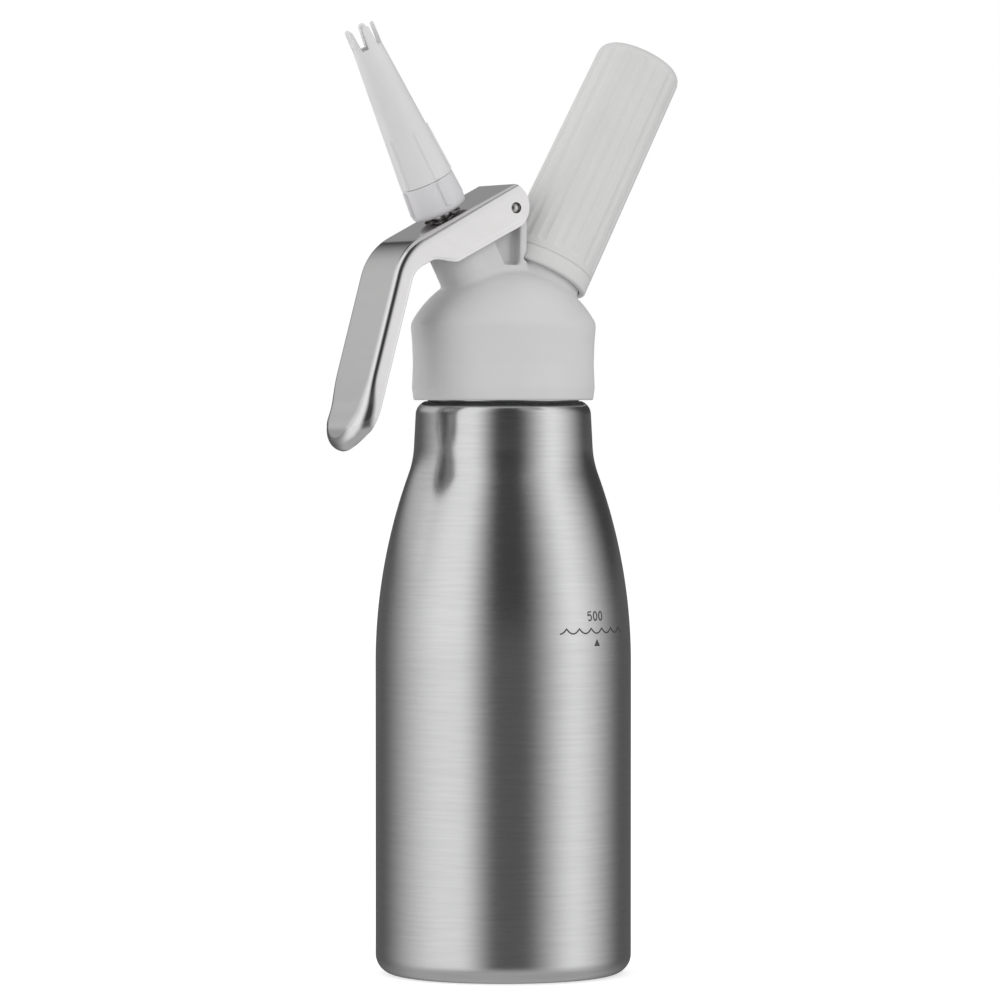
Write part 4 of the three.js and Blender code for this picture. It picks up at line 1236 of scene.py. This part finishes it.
nut_foot = 42.1
nut_radius = 8.6
nut_bore = 3.8
nut_outline = eased([
    (nut_bore, nut_foot, 0.3), (nut_radius, nut_foot, 0.4), (nut_radius, 43.8, 0.4), (6.2, 44.7, 2),
    (nut_bore, 45.05, 0.3),
], steps=6)
nut = turned("thrust_nut_turned", nut_outline, nozzle_axis, "valve")
fitted(nut, "thrust_nut", turned_steel)


def rubber(name, colour, roughness):
    """Moulded rubber: a dull skin with a fine grain and a faint bloom."""
    grains, grain_depth, gloss_change = 2600, 0.04 * mm, 0.08
    material, _, surface, _ = marked_material(
        name, colour, moulded_grain, {"Grains per Metre": grains},
        ("Cloud", 0.3, 0.7, 0.92, 1.1),
        ("Height", 0.3, 0.7, roughness - gloss_change, roughness + gloss_change),
        {"Strength": 0.3, "Distance": grain_depth})
    surface.inputs["Specular IOR Level"].default_value = 0.35
    return material


def rubber_ring(name, node_name, place, body, material, inner, outer, foot, top, edge):
    """A flat ring of rubber with round edges."""
    corners = [(inner, foot, edge), (outer, foot, edge), (outer, top, edge), (inner, top, edge)]
    fitted(turned(name, eased(corners), place, body), node_name, material)


red_rubber = rubber("red_rubber", colour=(0.36, 0.05, 0.035), roughness=0.62)
pale_rubber = rubber("pale_rubber", colour=(0.6, 0.57, 0.5), roughness=0.66)
rubber_ring("valve_seal_ring", "valve_seal", nozzle_axis, "valve", red_rubber,
            inner=4.7, outer=6.8, foot=5.5, top=6.9, edge=0.3)
o_ring_middle = 4.1
o_ring_height = 19.9
o_ring_wire = 0.85
o_ring_steps = 24
o_ring_outline = arc((o_ring_middle, o_ring_height), o_ring_wire, 0, 360, o_ring_steps)[:-1]
o_ring = turned("stem_o_ring_round", o_ring_outline, nozzle_axis, "valve")
fitted(o_ring, "stem_o_ring", red_rubber)
rubber_ring("head_gasket_ring", "head_gasket", bottle_axis, "head", pale_rubber,
            inner=21.9, outer=24.3, foot=195.11, top=197.09, edge=0.35)


# VALVE SPRING
# Six turns of drawn stainless wire under the thrust nut, which the lever squeezes.

spring_wire = 0.5
spring_steel = steel("spring_steel", colour=(0.5, 0.5, 0.51), roughness=0.26, lines=3000, streaks=3000,
                     relief=0.12, tone_change=0.05, axis_turn=nozzle_tilt, axis_origin=nozzle_origin)
spring = threaded("valve_spring_coil", nozzle_axis, "head", spring_steel,
                  radius=5.75, foot=26.85, height=14.4, turns=6.0, half_width=spring_wire, steps=48, sides=12)
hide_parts("valve_spring")
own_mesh(spring)


# CHARGING VALVE
# A turned steel body in the charging boss: washer and nut hold it, a rubber sleeve on its
# stub lets gas in one way, and its threaded stud carries the piercing pin in the charger's socket.

valve_bore = 1.2
stub_foot = 16.5
stub_radius = 3
tail_radius = 5.5
valve_flange_radius = 10.4
valve_flange_foot = 28.3
valve_flange_top = 30
stud_top = 44.9
stud_core = 8.75
socket_radius = 5.2
socket_floor = 36.3
pin_socket_radius = 2.6
pin_socket_floor = 31.45
valve_outline = eased([
    (valve_bore, stub_foot, 0.1), (stub_radius, stub_foot, 0.2),
    (stub_radius, 19.4, 0.1), (tail_radius, 19.4, 0.3),
    (tail_radius, valve_flange_foot, 0.1), (valve_flange_radius, valve_flange_foot, 0.3),
    (valve_flange_radius, valve_flange_top, 0.3), (stud_core, valve_flange_top, 0.2),
    (stud_core, stud_top, 0.6), (socket_radius, stud_top, 0.4),
    (socket_radius, socket_floor, 0.2), (pin_socket_radius, socket_floor, 0.1),
    (pin_socket_radius, pin_socket_floor, 0.1), (valve_bore, pin_socket_floor, 0.1),
])
valve_body = turned("charging_valve_turned", valve_outline, charging_axis, "head")
fitted(valve_body, "charging_valve_body", turned_steel)
threaded("stud_thread", charging_axis, "head", turned_steel,
         radius=stud_core + 0.1, foot=31.4, height=12.4, turns=8.25, half_width=0.44)

rubber_ring("charging_washer_ring", "charging_valve_washer", charging_axis, "head", red_rubber,
            inner=5.8, outer=10.4, foot=27.2, top=28, edge=0.2)
rubber_ring("check_sleeve_ring", "check_valve_sleeve", charging_axis, "head", red_rubber,
            inner=3.3, outer=4.7, foot=16.8, top=19.1, edge=0.35)
rubber_ring("charger_seal_ring", "charger_seal", charging_axis, "head", red_rubber,
            inner=2.6, outer=4.9, foot=36.6, top=37.7, edge=0.3)

hexagon_corner = 8.2
hexagon_foot = 20
hexagon_top = 23.2
hexagon_edge = 0.35
nut_hole_radius = 5.8
nut_hole_length = 8
nut_hole_middle = 21.5


def hexagon_work():
    """A hexagon with all its edges broken."""
    middle = Matrix.Translation((0, 0, (hexagon_foot + hexagon_top) / 2))
    work = rod_work(hexagon_corner, hexagon_top - hexagon_foot, middle, sides=6)
    bmesh.ops.bevel(work, geom=work.edges, offset=hexagon_edge, segments=3, profile=0.5, affect="EDGES")
    return work


charging_nut = finished("charging_nut_hexagon", hexagon_work(), charging_axis, "head")
nut_hole = rod_work(nut_hole_radius, nut_hole_length, Matrix.Translation((0, 0, nut_hole_middle)))
cut_away(charging_nut, [cutter("nut_hole", nut_hole, charging_axis)])
fitted(charging_nut, "charging_valve_nut", turned_steel)

piercer_foot = 31.75
piercer_radius = 2.3
point_radius = 1
piercer_sides = 40
piercer_outline = eased([
    (0, piercer_foot, 0), (piercer_radius, piercer_foot, 0.3), (piercer_radius, 36.45, 0.3),
    (point_radius, 36.45, 0.2), (point_radius, 38.2, 0.3), (0, 39.75, 0),
])
piercer = turned("piercing_pin_turned", piercer_outline, charging_axis, "head", piercer_sides)
fitted(piercer, "piercing_pin", turned_steel)


# GAS CHARGER
# A drawn steel bulb with a round end, a long shoulder and a narrow neck whose cap is already pierced.

charger_foot = 38
charger_radius = 8.85
charger_top = charger_foot + 65.5
charger_wall = 1.6
charger_neck_radius = 4.3
charger_neck_bore = 2.7
pierced_radius = 1.3
neck_top = charger_foot + 8.8
body_foot = neck_top + 5
shoulder_round = 5
outer_shoulder_turn = -68
inner_shoulder_turn = -60
shoulder_steps = 12
dome_steps = 24
inner_steps = 6
inner_dome_steps = 16
dome_middle = (0, charger_top - charger_radius)
shoulder_middle = (charger_radius - shoulder_round, body_foot)
charger_neck = eased([
    (pierced_radius, charger_foot, 0), (charger_neck_radius, charger_foot, 0.6),
    (charger_neck_radius, neck_top, 1.2),
])
charger = turned("gas_charger_drawn", [
    *charger_neck[:-1],
    *arc(shoulder_middle, shoulder_round, outer_shoulder_turn, 0, shoulder_steps),
    *arc(dome_middle, charger_radius, 0, 90, dome_steps),
    *arc(dome_middle, charger_radius - charger_wall, 90, 0, inner_dome_steps),
    *arc(shoulder_middle, shoulder_round - charger_wall, 0, inner_shoulder_turn, inner_steps),
    (charger_neck_bore, neck_top), (charger_neck_bore, charger_foot + charger_wall),
    (pierced_radius, charger_foot + charger_wall),
], charging_axis, "charger")
zinc_steel = steel("zinc_steel", colour=(0.52, 0.53, 0.515), roughness=0.3, lines=2500, streaks=800,
                   relief=0.25, tone_change=0.1, axis_turn=-charging_tilt, axis_origin=charging_origin)
fitted(charger, "gas_charger", zinc_steel)


# CHARGER HOLDER
# A tapered white cap, moulded with shallow flutes that run out over its round top. Its skirt hangs
# over the boss, and a fine parting seam runs round it under the flutes. A threaded ring sits inside.

skirt_foot = 28.7
holder_top = 107.3
holder_foot_radius = 14.9
holder_top_radius = 13.7
holder_slope = (holder_top_radius - holder_foot_radius) / (holder_top - skirt_foot)
holder_round = 4.5
skirt_bore = 13.1
insert_room = 12.1
insert_room_foot = 30.6
insert_room_top = 45.6
charger_room = 9.2
charger_gap = 0.3
seam_height = skirt_foot + 5.1
seam = ((-0.45, 0), (-0.2, 0.04), (-0.08, 0.26), (0.08, 0.26), (0.2, 0.04), (0.45, 0))
flute_count = 16
flute_width = 2.9
flute_depth = 0.42
flute_power = 1.05
flute_foot = skirt_foot + 8.6
flute_steps = 24


def wall_at(height):
    return holder_foot_radius + holder_slope * (height - skirt_foot)


def holder_outline():
    """From the skirt's inner edge up the outside over the top, and down the bore again."""
    run_out, run_in, run_out_steps = 2.2, 0.2, 16
    wall_start, wall_end, wall_steps = 2, 0.5, 24
    round_start, round_end, round_steps = 1, 89, 24
    top_ring, top_middle, top_sag = 6, 2, 0.005
    room_top = charger_top + charger_gap
    round_foot = holder_top - holder_round
    lower = seam_height + seam[1][0]
    outline = eased([(skirt_bore, insert_room_foot, 0), (skirt_bore, skirt_foot, 0.3),
                     (wall_at(skirt_foot), skirt_foot, 1.6), (wall_at(lower), lower, 0)], steps=8)[:-1]
    outline += [(wall_at(seam_height + up) - depth, seam_height + up) for up, depth in seam]
    for low, high, steps in ((flute_foot - run_out, flute_foot + run_in, run_out_steps),
                             (flute_foot + wall_start, round_foot - wall_end, wall_steps)):
        outline += [(wall_at(z), z) for z in np.linspace(low, high, steps)]
    outline += arc((wall_at(round_foot) - holder_round, round_foot), holder_round,
                   round_start, round_end, round_steps)
    outline += [(top_ring, holder_top - top_sag), (top_middle, holder_top), (0, holder_top), (0, room_top)]
    outline += eased([
        (0, room_top, 0), (charger_room, room_top, 2.5),
        (charger_room, insert_room_top, 0.2), (insert_room, insert_room_top, 0.2),
        (insert_room, insert_room_foot, 0.2), (skirt_bore, insert_room_foot, 0),
    ])[1:-1]
    return outline


def flute_tree():
    """Presses round-ended flutes into a tapered wall that stands on the Z axis."""
    tree, given, result = piece_tree("flutes_in_a_cone", {
        "Blank": "Geometry", "Count": "Float", "First Turn": "Float", "Half Width": "Float",
        "Depth": "Float", "Foot": "Float", "Wall at Zero": "Float", "Slope": "Float",
    })
    least_radius, whole_turns = 0.001, 100
    place = node(tree, "GeometryNodeInputPosition")
    apart = node(tree, "ShaderNodeSeparateXYZ")
    link(tree, (place.outputs[0], apart.inputs[0]))
    x, y, z = apart.outputs
    do = partial(maths, tree)
    radius = do("SQRT", do("ADD", do("MULTIPLY", x, x), do("MULTIPLY", y, y)))
    turn = do("SUBTRACT", do("ARCTAN2", y, x), given["First Turn"])
    pitch = do("DIVIDE", 2 * math.pi, given["Count"])
    turned_share = do("FRACT", do("ADD", do("DIVIDE", turn, pitch), whole_turns + 1 / 2))
    across = do("MULTIPLY", do("MULTIPLY", do("SUBTRACT", turned_share, 1 / 2), pitch), radius)
    below = do("MINIMUM", do("SUBTRACT", z, given["Foot"]), 0)
    away = do("ADD", do("MULTIPLY", across, across), do("MULTIPLY", below, below))
    away_share = do("DIVIDE", away, do("MULTIPLY", given["Half Width"], given["Half Width"]))
    left_share = do("MAXIMUM", do("SUBTRACT", 1, away_share), 0)
    pressed = do("MULTIPLY", do("POWER", left_share, flute_power), given["Depth"])
    wall = do("ADD", given["Wall at Zero"], do("MULTIPLY", z, given["Slope"]))
    new_radius = do("MINIMUM", radius, do("SUBTRACT", wall, pressed))
    grow = do("DIVIDE", new_radius, do("MAXIMUM", radius, least_radius))
    moved = node(tree, "ShaderNodeCombineXYZ")
    setting = node(tree, "GeometryNodeSetPosition")
    link(
        tree,
        (do("MULTIPLY", x, grow), moved.inputs["X"]), (do("MULTIPLY", y, grow), moved.inputs["Y"]),
        (z, moved.inputs["Z"]), (given["Blank"], setting.inputs["Geometry"]),
        (moved.outputs[0], setting.inputs["Position"]),
    )
    give_finish(tree, setting.outputs["Geometry"], given, result)
    return tree


holder_plastic = plastic("holder_plastic", colour=(0.665, 0.665, 0.66), roughness=0.5, relief=0.25)
blank_work = turned_work(holder_outline(), flute_count * flute_steps)
bmesh.ops.recalc_face_normals(blank_work, faces=blank_work.faces)
holder = grown("charger_holder_fluted", flute_tree(), {
    "Count": flute_count, "First Turn": math.radians(-90), "Half Width": flute_width / 2,
    "Depth": flute_depth, "Foot": flute_foot, "Wall at Zero": wall_at(0), "Slope": holder_slope,
    "Finish": holder_plastic,
}, charging_axis, "holder", to_mesh("holder_blank", blank_work))
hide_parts("charger_holder")

insert_radius = 11.8
insert_bore = 10.1
insert_foot = 31.2
insert_top = 45.3
insert_outline = eased([
    (insert_bore, insert_foot, 0.4), (insert_radius, insert_foot, 0.3), (insert_radius, insert_top, 0.3),
    (insert_bore, insert_top, 0.4),
])
insert = turned("thread_insert_turned", insert_outline, charging_axis, "holder")
fitted(insert, "holder_thread_insert", turned_steel)
threaded("insert_thread", charging_axis, "holder", turned_steel,
         radius=insert_bore - 0.05, foot=32.2, height=12, turns=8, half_width=0.44)


# SCREW THREADS OF BOTTLE AND HEAD
# Coarse round threads, rolled outwards on the bottle's neck and moulded inwards in the screw collar.

screw_steps = 96
screw_sides = 12
neck_screw_foot = rim_height + 3
neck_screw_radius = thread_core - 0.05
collar_screw_foot = rim_height + 5
collar_screw_radius = neck_radius + 0.98
threaded("neck_thread", bottle_axis, "bottle", brushed_steel,
         radius=neck_screw_radius, foot=neck_screw_foot, height=11, turns=2.75, half_width=0.78,
         steps=screw_steps, sides=screw_sides)
threaded("collar_thread", bottle_axis, "head", white_plastic,
         radius=collar_screw_radius, foot=collar_screw_foot, height=8, turns=2, half_width=0.75,
         steps=screw_steps, sides=screw_sides)


# STUDIO
# A pale floor and a light tent round it: two broad lights with dark between them, as polished metal
# mirrors them, and three soft lights for the rest. The camera looks from the front left.

view_turn = math.radians(29)
camera_distance = 1.807
camera_height = 0.1796
camera_lens = 207.8
aim_height = 0.1483
aim_right = -0.00103
towards_camera = Vector((-math.sin(view_turn), -math.cos(view_turn), 0))
towards_right = Vector((math.cos(view_turn), -math.sin(view_turn), 0))
floor_half = 6
floor_glow = 0.5
tent_radius = 1.5
tent_height = 4.4
tent_middle = 0.3
ceiling_zone = (2.44, 2.46)
ceiling_glow = 0.69
foot_glow = 0.5
left_lamp = (-140, -53, -41, -5, 0.9)
right_lamp = (16, 69, 62, 131, 0.96)
lamp_foot_zone = (0.08, 0.24)
lamp_gain = 1.14
dark_zone = (0.2, 0.34)
low_dark_glow = 0.125
high_dark_glow = 0.06
board_zone = (0.22, 0.6)
board_turns = (-95, -75)
high_zone = (1.12, 1.3)
high_board_turns = (-156, -146)
high_board_glow = 0.6
foot_zone = (-1.7, -0.2)
back_boards = (
    (-180, 0.34), (-160.7, 0.33), (-160.1, 0.04), (-157, 0.1), (-150.5, 0.27), (-143, 0.44), (-135.5, 0.57),
    (-126, 0.63), (-105, 0.72), (-90, 0.9),
)
card_turn = 44
card_distance = 0.25
card_half = 0.08
card_foot = 0.34
card_top = 0.56
air_glow = 0.72
soft_lights = (
    # name, turn, height, distance, width, tall, power
    ("key_light", 48, 1.1, 1.8, 0.9, 1.4, 9),
    ("fill_light", -50, 0.9, 2.0, 0.9, 1.4, 4),
    ("side_light", -112, 0.5, 1.6, 0.7, 1.2, 11),
)
soft_light_aim = Vector((0, 0, 0.15))


def outward(turn):
    """A level direction from the object, in degrees from the camera towards its right."""
    angle = math.radians(turn)
    return towards_camera * math.cos(angle) + towards_right * math.sin(angle)


def staged(name, work, material, hidden_from=()):
    """Something of the studio, hidden from some kinds of ray."""
    thing = bpy.data.objects.new(name, to_mesh(name, work))
    bpy.context.scene.collection.objects.link(thing)
    thing.data.materials.append(material)
    for ray in hidden_from:
        setattr(thing, "visible_" + ray, False)


def floor_material():
    """Shows at a plain brightness to the camera and takes shadows as cloth or paper."""
    material, tree, surface = new_material("studio_floor")
    surface.inputs["Base Color"].default_value = (0.8, 0.8, 0.8, 1)
    surface.inputs["Roughness"].default_value = 0.9
    surface.inputs["Specular IOR Level"].default_value = 0.0
    surface.inputs["Emission Color"].default_value = (1, 1, 1, 1)
    rays = node(tree, "ShaderNodeLightPath")
    glow = node(tree, "ShaderNodeEmission", {"Strength": floor_glow})
    both = node(tree, "ShaderNodeAddShader")
    chosen = node(tree, "ShaderNodeMixShader")
    link(
        tree,
        (rays.outputs["Is Camera Ray"], chosen.inputs[0]),
        (surface.outputs[0], chosen.inputs[1]),
        (surface.outputs[0], both.inputs[0]),
        (glow.outputs[0], both.inputs[1]),
        (both.outputs[0], chosen.inputs[2]),
        (chosen.outputs[0], tree.nodes["Material Output"].inputs["Surface"]),
    )
    return material


floor_work = bmesh.new()
bmesh.ops.create_grid(floor_work, x_segments=1, y_segments=1, size=floor_half)
staged("studio_floor", floor_work, floor_material(), ["glossy"])


def tent_material():
    """Two broad lights and the dark between them, boards at the back, a pale ceiling and a grey foot."""
    material, tree, surface = new_material("light_tent")
    tree.nodes.remove(surface)
    place = node(tree, "ShaderNodeTexCoord")
    apart = node(tree, "ShaderNodeSeparateXYZ")
    ahead = node(tree, "ShaderNodeVectorMath", {1: towards_camera}, operation="DOT_PRODUCT")
    aside = node(tree, "ShaderNodeVectorMath", {1: towards_right}, operation="DOT_PRODUCT")
    link(
        tree,
        (place.outputs["Object"], apart.inputs[0]),
        (place.outputs["Object"], ahead.inputs[0]),
        (place.outputs["Object"], aside.inputs[0]),
    )
    do = partial(maths, tree)
    height = apart.outputs["Z"]
    turn = do("ARCTAN2", aside.outputs["Value"], ahead.outputs["Value"])

    def rising(value, low, high):
        ramp = node(tree, "ShaderNodeMapRange", {"From Min": low, "From Max": high},
                    interpolation_type="SMOOTHSTEP")
        link(tree, (value, ramp.inputs["Value"]))
        return ramp.outputs[0]

    def turning(low, high):
        """Rises between two turns in degrees, 0 at the camera and 90 at its right."""
        return rising(turn, math.radians(low), math.radians(high))

    def over(share, below, above):
        return do("ADD", below, do("MULTIPLY", share, do("SUBTRACT", above, below)))

    def lamp(rise_start, rise_end, fall_start, fall_end, brightness):
        falling = do("SUBTRACT", 1, turning(fall_start, fall_end))
        return do("MULTIPLY", do("MULTIPLY", turning(rise_start, rise_end), falling), brightness)

    def boards(stops):
        """Brightness round the tent from (turn in degrees, brightness) stops."""
        ramp = node(tree, "ShaderNodeValToRGB")
        link(tree, (spread_over(tree, turn, -math.pi, math.pi, 0, 1), ramp.inputs["Fac"]))
        elements = ramp.color_ramp.elements
        for stop_turn, brightness in stops:
            share = (stop_turn + 180) / 360
            stop = elements.new(share) if 0 < share < 1 else elements[round(share)]
            stop.color = (brightness, brightness, brightness, 1)
        return ramp.outputs["Color"]

    lamps = do("ADD", lamp(*left_lamp), lamp(*right_lamp))
    lit = do("MULTIPLY_ADD", lamps, over(rising(height, *lamp_foot_zone), 1, lamp_gain),
             over(rising(height, *dark_zone), low_dark_glow, high_dark_glow))
    high = over(turning(*high_board_turns), high_board_glow, lit)
    back = over(rising(height, *high_zone), boards(back_boards), high)
    behind = do("MULTIPLY", rising(height, *board_zone), over(turning(*board_turns), 1, 0))
    walls = over(behind, over(rising(height, *foot_zone), foot_glow, lit), back)
    brightness = over(rising(height, *ceiling_zone), walls, ceiling_glow)
    glow = node(tree, "ShaderNodeEmission", {"Color": (1, 1, 1, 1)})
    link(
        tree,
        (brightness, glow.inputs["Strength"]),
        (glow.outputs[0], tree.nodes["Material Output"].inputs["Surface"]),
    )
    return material


mirrored_only = ("camera", "diffuse", "shadow", "transmission")
tent_work = rod_work(tent_radius, tent_height, Matrix.Translation((0, 0, tent_middle)), sides=96)
staged("light_tent", tent_work, tent_material(), mirrored_only)

dark_card, _, dark_surface = new_material("dark_card")
dark_surface.inputs["Base Color"].default_value = (0.4, 0.4, 0.4, 1)
card_away = outward(card_turn)
card_side = Vector((0, 0, 1)).cross(card_away)
card_work = bmesh.new()
card_work.faces.new([
    card_work.verts.new(card_away * card_distance + card_side * side * card_half + Vector((0, 0, height)))
    for side, height in ((-1, card_foot), (1, card_foot), (1, card_top), (-1, card_top))
])
staged("dark_card", card_work, dark_card, mirrored_only)


def set_world():
    """White air behind everything, and a little less light from it on what is dull."""
    world = bpy.data.worlds.new("studio")
    world.use_nodes = True
    tree = world.node_tree
    rays = node(tree, "ShaderNodeLightPath")
    seen = node(tree, "ShaderNodeMath", operation="MAXIMUM")
    clear = node(tree, "ShaderNodeMath", operation="MAXIMUM")
    plain = node(tree, "ShaderNodeBackground", {"Color": (1, 1, 1, 1), "Strength": air_glow})
    white = node(tree, "ShaderNodeBackground", {"Color": (1, 1, 1, 1), "Strength": 1.0})
    chosen = node(tree, "ShaderNodeMixShader")
    link(
        tree,
        (rays.outputs["Is Camera Ray"], seen.inputs[0]),
        (rays.outputs["Is Glossy Ray"], seen.inputs[1]),
        (seen.outputs[0], clear.inputs[0]),
        (rays.outputs["Is Transmission Ray"], clear.inputs[1]),
        (clear.outputs[0], chosen.inputs[0]),
        (plain.outputs[0], chosen.inputs[1]),
        (white.outputs[0], chosen.inputs[2]),
        (chosen.outputs[0], tree.nodes["World Output"].inputs["Surface"]),
    )
    bpy.context.scene.world = world


def soft_light(name, turn, height, distance, width, tall, power):
    """A tall soft light aimed at the middle of the object."""
    lamp = bpy.data.lights.new(name, "AREA")
    lamp.shape = "RECTANGLE"
    lamp.size = width
    lamp.size_y = tall
    lamp.energy = power
    thing = bpy.data.objects.new(name, lamp)
    thing.location = outward(turn) * distance + Vector((0, 0, height))
    thing.rotation_euler = (soft_light_aim - thing.location).to_track_quat("-Z", "Y").to_euler()
    thing.visible_glossy = False
    bpy.context.scene.collection.objects.link(thing)


set_world()
for lamp_values in soft_lights:
    soft_light(*lamp_values)

view = bpy.data.cameras.new("photo_view")
view.lens = camera_lens
view.sensor_width = 36
view.clip_end = 20
camera = bpy.data.objects.new("photo_view", view)
bpy.context.scene.collection.objects.link(camera)
camera.location = towards_camera * camera_distance + Vector((0, 0, camera_height))
aim = towards_right * aim_right + Vector((0, 0, aim_height))
camera.rotation_euler = (aim - camera.location).to_track_quat("-Z", "Y").to_euler()
bpy.context.scene.camera = camera
bpy.context.scene.view_settings.view_transform = "Standard"
